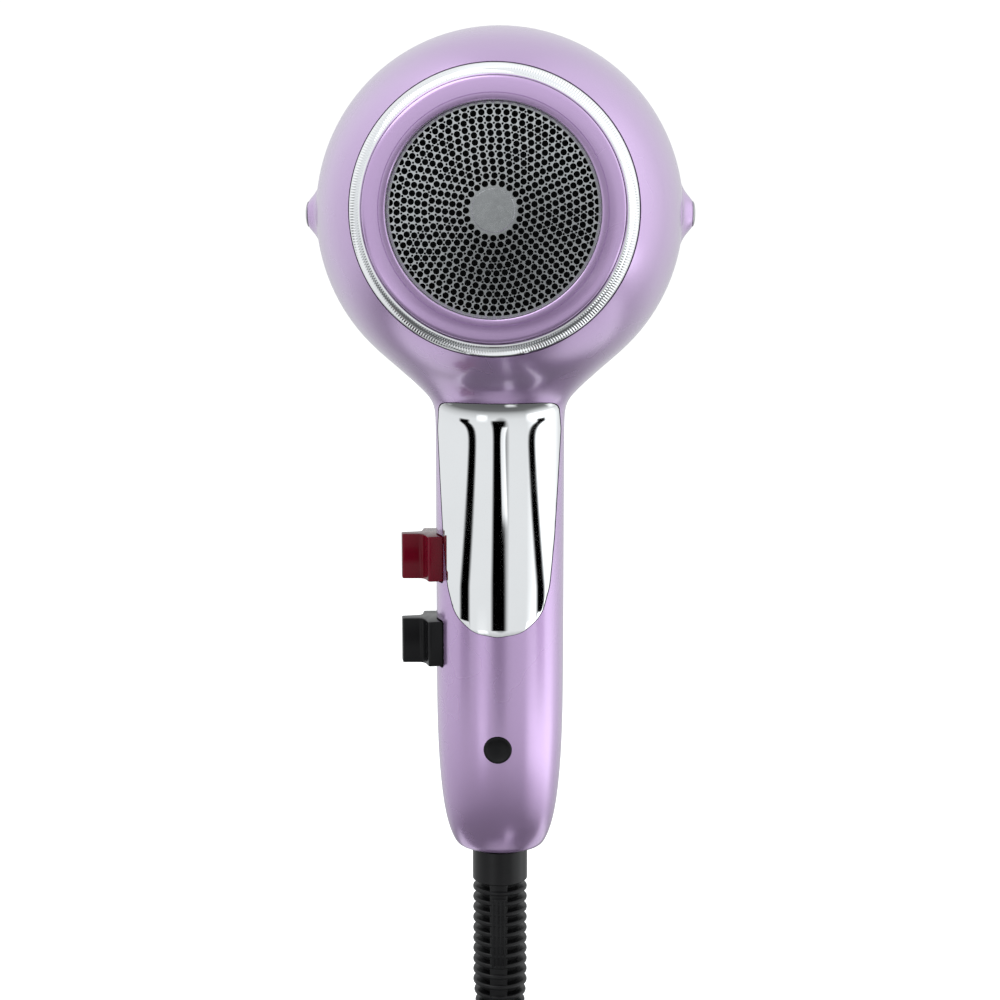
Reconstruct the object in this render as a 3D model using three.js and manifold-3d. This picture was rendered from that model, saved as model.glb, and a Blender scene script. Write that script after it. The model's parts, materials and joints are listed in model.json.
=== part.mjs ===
// A full-size salon hair dryer as an assembly of separate pieces, in millimetres.
// +Z is up, +Y is the way the air blows, and the origin is the middle of the hand grip, on the handle's axis.
import * as THREE from 'three';
import { mergeVertices } from 'three/addons/utils/BufferGeometryUtils.js';
import Module from 'manifold-3d';

const wasm = await Module();
wasm.setup();

// ---- Driving dimensions -------------------------------------------------------------------------

const GAP = 0.3; // clearance between neighbouring pieces
const WALL = 2.2; // moulded housing wall

// Head: half an ellipsoid behind the seam at Y = 0, and a barrel that narrows to the outlet in front of it.
const HEAD_Z = 115; // head axis above the middle of the grip
const HEAD_RADIUS = 49;
const HEAD_DEPTH = 59; // half length of the ellipsoid along Y
const HEAD_REAR_Y = -39.8; // where the rear housing ends and the intake cover begins
const BARREL_END_Y = 112;
const BARREL_POINTS = [
  [HEAD_RADIUS, 0],
  [47.4, 14],
  [42.6, 31],
  [36.2, 50],
  [31.2, 70],
  [28.3, 91],
  [26.8, BARREL_END_Y],
];
const BARREL_BORE = 25; // inside radius at the outlet end
const ROUND_SEGMENTS = 32;

// Intake: cover, knurled ring, grille and filter.
const REAR_RIM_RADIUS = 32.7;
const COVER_LIP_Y = -46.1;
const COVER_OUTER = 32.3;
const COVER_INNER = 26.5;
const COVER_SKIRT_END_Y = -35;
const RING_OUTER = 35.8;
const RING_INNER = 32.65;
const GRILLE_RADIUS = 26.2;
const GRILLE_EDGE_Y = -43.4;
const GRILLE_RISE = 1.6;
const GRILLE_THICKNESS = 1.2;
const GRILLE_SKIRT_Y = -39.5;
const GRILLE_HOLE = 1.7;
const GRILLE_ROWS = [10, 15.5, 21];
const HOLES_IN_FIRST_ROW = 6;
const HOLES_ADDED_PER_ROW = 3;
const GRILLE_DISC_RADIUS = 5.3;

// Neck and handle: a round section, a little deeper than it is wide. Heights are from the head axis.
const HANDLE_RADIUS = 17.5;
const HANDLE_DEPTH_SCALE = 18 / 17.5;
const HANDLE_BOTTOM = -174.6;
const HANDLE_PROFILE = [
  [10.2, HANDLE_BOTTOM],
  [12.3, -172],
  [14.1, -168.4],
  [15.7, -161.9],
  [17, -147.6],
  [HANDLE_RADIUS, -138],
  [HANDLE_RADIUS, -57],
  [17.95, -52.4],
  [19.2, -49.3],
  [21.6, -46.6],
  [33, -36.2],
];
// Half depth against height where the handle's end is flatter than it is wide.
const HANDLE_END_DEPTH = [
  [8.2, HANDLE_BOTTOM],
  [11, -172],
  [13.4, -168.4],
  [15.6, -161.9],
  [17.4, -150],
];
const NECK_TOP = -12; // inside the head
const HANDLE_SEGMENTS = 24;

// Chrome plate let into the rear of the handle: half width against height below the head axis.
const PLATE_OUTLINE = [
  [12.4, -49.5],
  [15.6, -51],
  [16.4, -57],
  [15.7, -72],
  [15, -84],
  [13.8, -98],
  [12.6, -103.6],
  [9.9, -107.5],
  [6.5, -110.4],
  [0, -111.8],
];
const PLATE_THICKNESS = 1.2;

// Rocker switches on the left side. Both tilt about an upright axis.
const ROCKER_HEIGHTS = { red: -92.4, black: -115.8 };
const ROCKER_HEIGHT = 12.3;
const ROCKER_PIVOT_X = -15;
const ROCKER_FIN_TIP_X = -27;
const ROCKER_REST_TILT = 9; // degrees from the middle of its travel, with the rear wing pressed in
const SWITCH_OPENING = { x0: -32, x1: -9, halfY: 9.3 };

// Screws through the handle.
const SCREW_HEIGHTS = { upper: -64, lower: -142.8 };
const SCREW_BOSS_RADIUS = 5.2;
const PLUG_COVER_RADIUS = 3.68;
const SCREW_SEAT_Y = -8.3;

// Bosses on the two sides of the head.
const BOSS_TIP_X = 51.3;
const SIDE_CAP_X = 52.1;

// Air path and motor, along the head axis.
const DUCT_WALL = 1.2;
const MOTOR_RADIUS = 19;
const SHAFT_RADIUS = 2.5;
const BORE_RADIUS = SHAFT_RADIUS + GAP;
const FAN_RADIUS = 32.3;
const FAN_BLADES = 9;
const VANES = 8;

// Heater and outlet.
const HEATER_TUBE_RADIUS = 23.2;
const HEATER_RINGS_Y = [56, 68, 80, 92];
const HEATER_RING_RADIUS = 18.5;
const HEATER_WIRE_RADIUS = 1.5;
const NOZZLE = { outer: 24.6, inner: 21.8, back: 104, front: 125 };

// Cord: 2.8 m in all, 7.5 mm thick, hung straight down and wound into a coil on the surface below.
const CORD_RADIUS = 3.75;
const SLEEVE_END = -120.6; // height in the part's own frame
const COIL = { y: 41, inner: 29.75, outer: 52.25, bottom: -203.7, shoulder: -181.2, top: -173.7 };
const TOP_TURN_OUTER = 44.75;
const FLOOR_Z = -205;
const CORD_SIDES = 10;

// The drop's route: straight down out of the sleeve, then round into the coil's top turn.
const DROP_ROUTE = [
  [0, 0, -120.6],
  [0, 0, -126],
  [0, 0, -132],
  [0, 0, -138],
  [0, 0, -143.5],
  [-0.5, 0, -149.3],
  [-2.1, 0.1, -155.8],
  [-4.6, 0.3, -160.5],
  [-8.6, 0.9, -165.5],
  [-12.5, 2, -169.2],
  [-17.1, 3.7, -172.4],
  [-21.4, 6, -175],
  [-24.9, 8.4, -176.4],
  [-28, 11.1, -177.3],
];
// The tail's route: out of the coil's lowest turn, along the surface and up into the plug.
const TAIL_ROUTE = [
  [-48.5, 52, -200],
  [-48.5, 60, -200],
  [-48.5, 68, -199.9],
  [-48.4, 76, -199.6],
  [-47.6, 86, -198.6],
  [-44.2, 95.6, -197.2],
  [-38.4, 103.2, -195.6],
  [-31, 108.7, -194.1],
  [-23.4, 111.8, -193],
  [-15, 113, -192.2],
  [-11, 113, -192],
];
const PLUG = { x: -10.7, y: 113, z: -192, boot: 24, body: 34, width: 35.3, height: 25.6 };
const PIN = { radius: 2.4, length: 19, spacing: 19 };

// Strain relief: collar, ribbed sleeve and the flange that the handle holds.
const SLEEVE = { collar: 7.65, rib: 7.55, groove: 5.6, pitch: 3.03, ribs: 15, collarEnd: -184.3 };

// ---- Finishes -----------------------------------------------------------------------------------

const finish = (color, roughness, metalness) =>
  new THREE.MeshStandardMaterial({ color, roughness, metalness });

const LAVENDER = finish(0xb8a2cc, 0.36, 0.55);
const CHROME = finish(0xdfe1e4, 0.08, 1);
const SATIN_METAL = finish(0x9a9a9e, 0.4, 0.9);
const STEEL = finish(0x84878b, 0.35, 1);
const BLACK_PLASTIC = finish(0x1a1a1c, 0.45, 0);
const RUBBER = finish(0x131314, 0.7, 0);
const RED_PLASTIC = finish(0xc4101c, 0.2, 0);
const MICA = finish(0xb59a63, 0.6, 0);
const HEATER_WIRE = finish(0x6f6a66, 0.5, 0.9);
const BOARD_GREEN = finish(0x2c5e3c, 0.6, 0);
const WHITE_PLASTIC = finish(0xe6e3dc, 0.5, 0);

// ---- Solids -------------------------------------------------------------------------------------

function solidOf(geometry) {
  const bare = geometry.clone();
  bare.deleteAttribute('normal');
  bare.deleteAttribute('uv');
  const merged = mergeVertices(bare, 1e-4);
  const made = new wasm.Manifold(
    new wasm.Mesh({
      numProp: 3,
      vertProperties: new Float32Array(merged.attributes.position.array),
      triVerts: new Uint32Array(merged.index.array),
    }),
  );
  if (made.volume() <= 0) throw new Error('a solid is inside out');
  return made;
}

function geometryOf(solid) {
  const mesh = solid.getMesh();
  const geometry = new THREE.BufferGeometry();
  geometry.setAttribute('position', new THREE.BufferAttribute(mesh.vertProperties, 3));
  geometry.setIndex(new THREE.BufferAttribute(mesh.triVerts, 1));
  geometry.computeVertexNormals();
  return geometry;
}

const join = (...solids) => solids.reduce((all, next) => all.add(next));
const cut = (solid, ...tools) => tools.reduce((left, tool) => left.subtract(tool), solid);

// Turns outline points so that the area to their left, seen with the axis upwards, is the material.
function outward(points) {
  const area = points.reduce((sum, [x, y], i) => {
    const [nextX, nextY] = points[(i + 1) % points.length];
    return sum + x * nextY - nextX * y;
  }, 0);
  return area > 0 ? points : [...points].reverse();
}

const vectors = (points) => points.map(([x, y]) => new THREE.Vector2(x, y));

// A closed outline of [radius, height] points turned about the Y axis.
function lathe(points, segments = ROUND_SEGMENTS) {
  const round = outward(points);
  return new THREE.LatheGeometry(vectors([...round, round[0]]), segments);
}

const turned = (points, segments) => solidOf(lathe(points, segments));
const turnedUp = (points, segments) => solidOf(lathe(points, segments).rotateX(Math.PI / 2));
const turnedAlongX = (points, segments) => solidOf(lathe(points, segments).rotateZ(-Math.PI / 2));

// A ring or a disc of rectangular section about the head axis.
const ring = (inner, outer, y0, y1, segments) =>
  turned([[inner, y0], [outer, y0], [outer, y1], [inner, y1]], segments);

function box(x0, x1, y0, y1, z0, z1) {
  const geometry = new THREE.BoxGeometry(x1 - x0, y1 - y0, z1 - z0);
  return solidOf(geometry.translate((x0 + x1) / 2, (y0 + y1) / 2, (z0 + z1) / 2));
}

// A rod along Y with its middle line at x, z.
function rodY(x, z, radius, y0, y1, segments = 16) {
  const geometry = new THREE.CylinderGeometry(radius, radius, y1 - y0, segments);
  return solidOf(geometry.translate(x, (y0 + y1) / 2, z));
}

// An outline in X and Z pushed from y0 to y1.
function plateXZ(points, y0, y1) {
  const shape = new THREE.Shape(vectors(points.map(([x, z]) => [x, -z])));
  const geometry = new THREE.ExtrudeGeometry(shape, { depth: y1 - y0, bevelEnabled: false });
  return solidOf(geometry.rotateX(-Math.PI / 2).translate(0, y0, 0));
}

// An outline of [y, z] points pushed along X.
function acrossX(points, x0, x1) {
  const geometry = new THREE.ExtrudeGeometry(new THREE.Shape(vectors(points)), { depth: x1 - x0, bevelEnabled: false });
  const turn = new THREE.Matrix4().makeBasis(
    new THREE.Vector3(0, 1, 0), new THREE.Vector3(0, 0, 1), new THREE.Vector3(1, 0, 0));
  return solidOf(geometry.applyMatrix4(turn).translate(x0, 0, 0));
}

// A round section swept along a smooth line through the points.
function tube(points, radius, sides, steps) {
  const path = new THREE.CatmullRomCurve3(points.map((p) => new THREE.Vector3(...p)));
  const section = new THREE.Shape(
    Array.from({ length: sides }, (_, i) => {
      const angle = (2 * Math.PI * i) / sides;
      return new THREE.Vector2(radius * Math.cos(angle), radius * Math.sin(angle));
    }),
  );
  return solidOf(new THREE.ExtrudeGeometry(section, { steps, extrudePath: path }));
}

// Copies of a solid, turned evenly about the head axis.
function aroundAxis(solid, count) {
  return Array.from({ length: count }, (_, i) => solid.rotate([0, (360 * i) / count, 0]));
}

// ---- The assembly -------------------------------------------------------------------------------

const dryer = new THREE.Group();
const head = new THREE.Group(); // everything here is measured from the head axis
head.position.z = HEAD_Z;
dryer.add(head);

function place(name, solid, material, group = head) {
  const mesh = new THREE.Mesh(geometryOf(solid), material);
  mesh.name = name;
  group.add(mesh);
}

// ---- Housing ------------------------------------------------------------------------------------

const ellipsoidRadius = (y) => HEAD_RADIUS * Math.sqrt(1 - (y / HEAD_DEPTH) ** 2);

// The head's outline from the rear end to the outlet, brought in by an offset.
function headOutline(offset, rearY) {
  const rearSteps = 6;
  const barrel = new THREE.SplineCurve(vectors(BARREL_POINTS)).getPoints(8);
  const rear = Array.from({ length: rearSteps }, (_, i) => {
    const y = rearY * Math.cos((Math.PI / 2) * (i / rearSteps));
    return [ellipsoidRadius(y) - offset, y];
  });
  return [...rear, ...barrel.map((p) => [p.x - offset, p.y])];
}

function headOuter() {
  return turned([[0, HEAD_REAR_Y], ...headOutline(0, HEAD_REAR_Y), [0, BARREL_END_Y]]);
}

function headInner() {
  const shoulderY = HEAD_REAR_Y + WALL;
  const front = BARREL_END_Y + 2;
  const outline = headOutline(WALL, shoulderY).map(([r, y]) => [Math.max(r, BARREL_BORE), y]);
  const rim = [[0, HEAD_REAR_Y - 2], [REAR_RIM_RADIUS, HEAD_REAR_Y - 2], [REAR_RIM_RADIUS, shoulderY]];
  return turned([...rim, ...outline, [BARREL_BORE, front], [0, front]]);
}

// The handle and its neck, brought in by an offset.
function handleBody(offset) {
  const side = HANDLE_PROFILE.map(([r, z], i) => [r - offset, i ? z : z + offset]);
  const top = [side.at(-1)[0], NECK_TOP];
  const body = turnedUp([[0, HANDLE_BOTTOM + offset], ...side, top, [0, NECK_TOP]], HANDLE_SEGMENTS)
    .scale([1, HANDLE_DEPTH_SCALE, 1]);
  const front = HANDLE_END_DEPTH.map(([y, z], i) => [y - offset, i ? z : z + offset]);
  front.push([60, -145], [60, 0]);
  const back = front.map(([y, z]) => [-y, z]).reverse();
  return body.intersect(acrossX([...front, ...back], -60, 60));
}

// One half of a side boss's outline: a flared foot that narrows to the tip.
function sideBoss(side) {
  const profile = [[0, 44], [9.8, 44], [8.2, 47.2], [6.3, 48.6], [4.9, 49.8], [3.9, 50.8], [3.5, BOSS_TIP_X],
    [0, BOSS_TIP_X]];
  const boss = turnedAlongX(profile, 20);
  return side > 0 ? boss : boss.mirror([1, 0, 0]);
}

const sideBore = (side) => {
  const bore = turnedAlongX([[0, 40], [1.9, 40], [1.9, 55], [0, 55]], 12);
  return side > 0 ? bore : bore.mirror([1, 0, 0]);
};

function plateOutline(margin) {
  const rightSide = PLATE_OUTLINE.map(([x, z], i) => {
    const down = i === PLATE_OUTLINE.length - 1 ? margin : 0;
    const up = i === 0 ? margin : 0;
    return [x ? x + margin : 0, z + up - down];
  });
  const leftSide = rightSide.slice(0, -1).reverse().map(([x, z]) => [-x, z]);
  return [...rightSide, ...leftSide];
}

// The space that the chrome plate sits in, cut to a depth below the handle's surface.
function plateSpace(margin, depth) {
  return cut(plateXZ(plateOutline(margin), -30, 0), handleBody(depth));
}

function switchOpening(z, margin = 0) {
  const half = ROCKER_HEIGHT / 2 + 0.45 + margin;
  const { x0, x1, halfY } = SWITCH_OPENING;
  return box(x0, x1, -halfY - margin, halfY + margin, z - half, z + half);
}

const SLEEVE_NECK = 6.5; // radius of the sleeve where it passes the handle's end
const CLAMP_Z = -160;
const CLAMP_POST_X = 6.6;

function housing() {
  const shell = cut(
    join(headOuter(), handleBody(0), sideBoss(1), sideBoss(-1)),
    join(headInner(), handleBody(WALL)),
  );
  return cut(
    shell,
    ...Object.values(ROCKER_HEIGHTS).map(switchOpening),
    sideBore(1),
    sideBore(-1),
    turnedUp([[0, HANDLE_BOTTOM - 2], [SLEEVE_NECK + GAP, HANDLE_BOTTOM - 2],
      [SLEEVE_NECK + GAP, HANDLE_BOTTOM + 4], [0, HANDLE_BOTTOM + 4]], 20),
  );
}

const halfSpace = (y0, y1) => box(-80, 80, y0, y1, -200, 80);

function rearHousing(shell) {
  const bosses = Object.values(SCREW_HEIGHTS).map((z) => rodY(0, z, SCREW_BOSS_RADIUS, -17, -0.6));
  const half = join(shell.intersect(halfSpace(-60, -GAP / 2)), ...bosses);
  const counterbores = Object.values(SCREW_HEIGHTS).map((z) => rodY(0, z, PLUG_COVER_RADIUS + GAP, -25, SCREW_SEAT_Y));
  const clearances = Object.values(SCREW_HEIGHTS).map((z) => rodY(0, z, 1.95, SCREW_SEAT_Y - 1, 2, 12));
  return cut(half, ...counterbores, ...clearances, plateSpace(GAP, PLATE_THICKNESS + GAP));
}

function frontHousing(shell) {
  const bosses = Object.values(SCREW_HEIGHTS).map((z) => rodY(0, z, SCREW_BOSS_RADIUS - 1, 0.6, 17));
  const posts = [-1, 1].map((side) => rodY(side * CLAMP_POST_X, CLAMP_Z, 2.3, -3.3, 13.4, 10));
  const half = join(shell.intersect(halfSpace(GAP / 2, 140)), ...bosses, ...posts);
  const bores = Object.values(SCREW_HEIGHTS).map((z) => rodY(0, z, 1.95, -2, 12, 12));
  const postBores = [-1, 1].map((side) => rodY(side * CLAMP_POST_X, CLAMP_Z, 1.4, -6, 8, 8));
  return cut(half, ...bores, ...postBores);
}

function backPlate() {
  const plate = handleBody(0).intersect(plateSpace(0, PLATE_THICKNESS));
  return cut(plate, ...Object.values(ROCKER_HEIGHTS).map((z) => switchOpening(z, GAP)));
}

function sideCap(side) {
  const profile = [[0, 46.5], [1.6, 46.5], [1.6, BOSS_TIP_X + GAP], [3.35, BOSS_TIP_X + GAP],
    [2.9, 51.9], [1.6, SIDE_CAP_X], [0, SIDE_CAP_X]];
  const cap = turnedAlongX(profile, 20);
  return side > 0 ? cap : cap.mirror([1, 0, 0]);
}

// A screw along Y: its head behind, its shank ahead.
const screwY = (x, z, headRadius, shankRadius, headY, shankY, endY) =>
  join(rodY(x, z, headRadius, headY, shankY + 0.1, 12), rodY(x, z, shankRadius, shankY, endY, 10));

function addHousing() {
  const shell = housing();
  place('rear_housing', rearHousing(shell), LAVENDER);
  place('front_housing', frontHousing(shell), LAVENDER);
  place('handle_back_plate', backPlate(), CHROME);
  place('screw_plug', rodY(0, SCREW_HEIGHTS.lower, PLUG_COVER_RADIUS, -17.75, -13, 24), BLACK_PLASTIC);
  place('side_cap_right', sideCap(1), SATIN_METAL);
  place('side_cap_left', sideCap(-1), SATIN_METAL);
  place('housing_screw_upper', screwY(0, SCREW_HEIGHTS.upper, 3.2, 1.6, -11.4, -8.7, 11), STEEL);
  place('housing_screw_lower', screwY(0, SCREW_HEIGHTS.lower, 3.2, 1.6, -11.4, -8.7, 11), STEEL);
}

// ---- Intake -------------------------------------------------------------------------------------

function intakeCover() {
  const lip = [[COVER_INNER, -39.2], [COVER_INNER, -45.5], [27.1, COVER_LIP_Y], [28.4, COVER_LIP_Y],
    [31.3, -45.6], [COVER_OUTER, -44.8]];
  const skirt = [[COVER_OUTER, COVER_SKIRT_END_Y], [COVER_OUTER - 0.9, COVER_SKIRT_END_Y],
    [COVER_OUTER - 0.9, -38.2], [31.2, -39.2]];
  return turned([...lip, ...skirt]);
}

function knurledRing() {
  const front = HEAD_REAR_Y - GAP;
  return turned([[RING_INNER, front], [RING_OUTER, front], [RING_OUTER, -40.9], [34.8, -42.6],
    [33.4, -44], [RING_INNER, -44.1]]);
}

// The grille's outside at a radius: a shallow dome that stands highest in the middle.
const grilleY = (r) => GRILLE_EDGE_Y - GRILLE_RISE * (1 - (r / GRILLE_RADIUS) ** 2);

function intakeGrille() {
  const radii = [0, 7, 13, 19, GRILLE_RADIUS];
  const outside = radii.map((r) => [r, grilleY(r)]);
  const skirt = [[GRILLE_RADIUS, GRILLE_SKIRT_Y], [GRILLE_RADIUS - 1, GRILLE_SKIRT_Y]];
  const inside = [GRILLE_RADIUS - 1, ...radii.slice(0, -1).reverse()].map((r) => [r, grilleY(r) + GRILLE_THICKNESS]);
  const holes = GRILLE_ROWS.flatMap((r, row) =>
    aroundAxis(rodY(r, 0, GRILLE_HOLE, -48, -36, 6), HOLES_IN_FIRST_ROW + HOLES_ADDED_PER_ROW * row));
  return cut(turned([...outside, ...skirt, ...inside], 24), ...holes);
}

function addIntake() {
  const discBack = grilleY(0) - GAP;
  place('intake_cover', intakeCover(), LAVENDER);
  place('knurled_ring', knurledRing(), CHROME);
  place('intake_grille', intakeGrille(), SATIN_METAL);
  place('grille_disc', ring(0, GRILLE_DISC_RADIUS, discBack - 0.7, discBack, 24), SATIN_METAL);
  place('filter_mesh', ring(0, 31, -37.9, -37.3, 24), STEEL);
}

// ---- Motor and fan ------------------------------------------------------------------------------

function airDuct() {
  const inside = [[33.4, -34.5], [33.8, -12], [33.6, 8], [30.6, 26], [26.4, 38], [23.6, 44], [23.6, 46.8]];
  const outside = inside.map(([r, y]) => [r + DUCT_WALL, y]).reverse();
  return turned([...inside, ...outside], 24);
}

function fanImpeller() {
  const hub = turned([[BORE_RADIUS, -32], [6, -32], [10, -28], [12, -16], [BORE_RADIUS, -16]], 24);
  const blade = new THREE.BoxGeometry(FAN_RADIUS - 8, 15, 1.6).rotateX(0.62);
  const placed = solidOf(blade.translate((FAN_RADIUS + 8) / 2, -24, 0));
  const reach = ring(0, FAN_RADIUS, -31.6, -16.4, 32);
  const blades = aroundAxis(placed, FAN_BLADES).map((b) => b.intersect(reach));
  return cut(join(hub, ...blades), ring(0, BORE_RADIUS, -40, -10, 16));
}

function motorCan() {
  const inside = MOTOR_RADIUS - 1;
  return turned([[3.2, -11], [MOTOR_RADIUS, -11], [MOTOR_RADIUS, 29], [inside, 29], [inside, -9.8], [3.2, -9.8]], 28);
}

function motorMount() {
  const band = ring(MOTOR_RADIUS + GAP, MOTOR_RADIUS + 1.9, 0, 14, 28);
  const vane = new THREE.BoxGeometry(13, 14, 1.4).rotateX(-0.35);
  const placed = solidOf(vane.translate(26.4, 7, 0));
  const reach = ring(MOTOR_RADIUS + 1, 32.3, 0, 14, 32);
  return join(band, ...aroundAxis(placed, VANES).map((v) => v.intersect(reach)));
}

function addMotor() {
  const nut = rodY(0, 0, 4.6, -35.2, -32.4, 6);
  place('air_duct', airDuct(), BLACK_PLASTIC);
  place('fan_impeller', fanImpeller(), BLACK_PLASTIC);
  place('fan_nut', cut(nut, ring(0, BORE_RADIUS, -40, -30, 16)), STEEL);
  place('motor_shaft', ring(0, SHAFT_RADIUS, -35.6, 33, 16), STEEL);
  place('motor_rotor', ring(BORE_RADIUS, 13, -4, 21, 20), STEEL);
  place('motor_bearing_rear', ring(BORE_RADIUS, 5.5, -9.4, -5.6, 16), STEEL);
  place('motor_bearing_front', ring(BORE_RADIUS, 5.5, 24, 28, 16), STEEL);
  place('motor_can', motorCan(), STEEL);
  place('motor_end_plate', ring(3.2, MOTOR_RADIUS, 29.3, 30.8, 28), BLACK_PLASTIC);
  place('motor_mount', motorMount(), BLACK_PLASTIC);
}

// ---- Heater and outlet --------------------------------------------------------------------------

const heaterRing = (y, radius) => {
  const sides = 6;
  const section = Array.from({ length: sides }, (_, i) => {
    const angle = (2 * Math.PI * i) / sides;
    return [HEATER_RING_RADIUS + radius * Math.cos(angle), y + radius * Math.sin(angle)];
  });
  return turned(section, 16);
};

// Two mica plates cross in the tube. Each has a slot over half its length that takes the other.
function micaPlates() {
  const half = 0.4;
  const reach = 21.8;
  const middle = 77;
  const notches = HEATER_RINGS_Y.map((y) => heaterRing(y, HEATER_WIRE_RADIUS + 0.4));
  const upright = box(-half, half, 50, 103.4, -reach, reach);
  const level = box(-reach, reach, 50, 103.4, -half, half);
  const slot = half + GAP;
  return {
    upright: cut(upright, box(-2, 2, 40, middle, -slot, slot), ...notches),
    level: cut(level, box(-slot, slot, middle - GAP, 110, -2, 2), ...notches),
  };
}

function nozzleRing() {
  const { outer, inner, back, front } = NOZZLE;
  return turned([[inner, back], [outer, back], [outer, front - 0.8], [outer - 0.6, front], [inner, front]]);
}

function outletGrille() {
  const y0 = 112.9;
  const y1 = 115;
  const rings = [12, 21.5].map((outer) => ring(outer - 1.4, outer, y0, y1, 24));
  const spokes = [0, 1, 2].map((i) => box(-21, 21, y0, y1, -0.7, 0.7).rotate([0, 60 * i, 0]));
  return join(ring(0, 2.6, y0, y1, 12), ...rings, ...spokes);
}

function addHeater() {
  const plates = micaPlates();
  const tubeInner = HEATER_TUBE_RADIUS - 0.7;
  place('heater_tube', ring(tubeInner, HEATER_TUBE_RADIUS, 47.1, 103.7, 32), MICA);
  place('mica_plate_upright', plates.upright, MICA);
  place('mica_plate_level', plates.level, MICA);
  HEATER_RINGS_Y.forEach((y, i) =>
    place(`heater_coil_${i + 1}`, heaterRing(y, HEATER_WIRE_RADIUS), HEATER_WIRE));
  place('thermostat', turnedUp([[0, 0.8], [4.5, 0.8], [4.5, 4.4], [0, 4.4]], 16).translate([9, 62, 0]), STEEL);
  place('thermal_fuse', box(-11, -8, 70, 80, 0.8, 3.4), WHITE_PLASTIC);
  place('ion_needle', turned([[0, 104.6], [1.4, 104.6], [1.4, 110], [0, 112.5]], 12), STEEL);
  place('nozzle_ring', nozzleRing(), BLACK_PLASTIC);
  place('outlet_grille', outletGrille(), BLACK_PLASTIC);
}

// ---- Switches and wiring ------------------------------------------------------------------------

// Seen from above: a foot inside the opening, two wings, and a thin fin with hollow flanks.
function rockerOutline() {
  const side = [[-14.1, 7.4], [-16.6, 8.2], [-20.9, 8.5], [-21.8, 8], [-22.1, 7], [-22.3, 5.4],
    [-22.9, 4], [-24.2, 3], [-26.1, 2.5], [-26.8, 2.2], [ROCKER_FIN_TIP_X, 1.5]];
  return [...side, ...side.map(([x, y]) => [x, -y]).reverse()];
}

function rocker(z) {
  const shape = new THREE.Shape(vectors(rockerOutline()));
  const geometry = new THREE.ExtrudeGeometry(shape, { depth: ROCKER_HEIGHT, bevelEnabled: false });
  geometry.translate(-ROCKER_PIVOT_X, 0, z - ROCKER_HEIGHT / 2);
  geometry.rotateZ((ROCKER_REST_TILT * Math.PI) / 180);
  return solidOf(geometry.translate(ROCKER_PIVOT_X, 0, 0));
}

function addSwitches() {
  place('red_rocker', rocker(ROCKER_HEIGHTS.red), RED_PLASTIC);
  place('black_rocker', rocker(ROCKER_HEIGHTS.black), BLACK_PLASTIC);
  Object.entries(ROCKER_HEIGHTS).forEach(([colour, z]) =>
    place(`${colour}_switch_body`, box(-11.6, 0.6, -8.2, 8.2, z - 6, z + 6), BLACK_PLASTIC));
}

function addWiring() {
  place('circuit_board', box(2.8, 4.4, -9, 9, -134, -76), BOARD_GREEN);
  place('capacitor', box(4.7, 12, -6, 6, -104, -88), WHITE_PLASTIC);
  place('ion_module', box(-11.5, 4, -8.5, 8.5, -54, -42), BLACK_PLASTIC);
  const lower = [[0, 0, -168], [0, 0, -158], [4, 0, -152.5], [9, 0, -147], [9.9, 0, -141], [9, 0, -135]];
  const upper = [[9, 0, -75], [9.6, 0, -68], [9.9, 0, -60], [10, 0, -50], [9, 0, -39]];
  place('wire_harness_lower', tube(lower, 2.2, 8, 14), BLACK_PLASTIC);
  place('wire_harness_upper', tube(upper, 2.2, 8, 10), BLACK_PLASTIC);
  const bar = box(-9, 9, -6, -3.6, CLAMP_Z - 3, CLAMP_Z + 3);
  const holes = [-1, 1].map((side) => rodY(side * CLAMP_POST_X, CLAMP_Z, 1.4, -8, 0, 8));
  place('cord_clamp', cut(bar, ...holes), BLACK_PLASTIC);
  [-1, 1].forEach((side) => place(side > 0 ? 'clamp_screw_right' : 'clamp_screw_left',
    screwY(side * CLAMP_POST_X, CLAMP_Z, 2, 1.05, -7.9, -6.35, 6), STEEL));
}

// ---- Strain relief, cord and plug ---------------------------------------------------------------

function strainRelief() {
  const { collar, rib, groove, pitch, ribs, collarEnd } = SLEEVE;
  const end = SLEEVE_END - HEAD_Z;
  const top = [[0, -169], [9, -169], [9, -171.2], [SLEEVE_NECK, -171.2],
    [SLEEVE_NECK, HANDLE_BOTTOM - GAP], [collar, HANDLE_BOTTOM - GAP], [collar, collarEnd]];
  const ribbed = Array.from({ length: ribs }, (_, i) => {
    const z = collarEnd - pitch * i;
    const radius = rib - Math.max(0, i - 9) * 0.28;
    return [[groove, z], [groove, z - 1.2], [radius, z - 1.2], [radius, z - pitch]];
  }).flat();
  return turnedUp([...top, ...ribbed, [groove - 0.6, end], [0, end]], 10);
}

// A section of [radius, height] points turned about the coil's upright axis.
const aboutCoil = (points, segments) => turnedUp(points, segments).translate([0, COIL.y, 0]);

function coilSolid(margin) {
  const { inner, outer, bottom, shoulder, top } = COIL;
  return aboutCoil([[inner - margin, bottom - margin], [outer + margin, bottom - margin],
    [outer + margin, shoulder + margin], [TOP_TURN_OUTER + margin, shoulder + margin],
    [TOP_TURN_OUTER + margin, top + margin], [inner - margin, top + margin]], 36);
}

function cordTie() {
  const y0 = COIL.y + COIL.inner - 1.1;
  const y1 = COIL.y + COIL.outer + GAP;
  const band = box(-6, 6, y0 - 1, y1 + 1, FLOOR_Z, COIL.top + 1.3);
  return cut(band, box(-8, 8, y0, y1, FLOOR_Z + 1, COIL.top + GAP));
}

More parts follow.
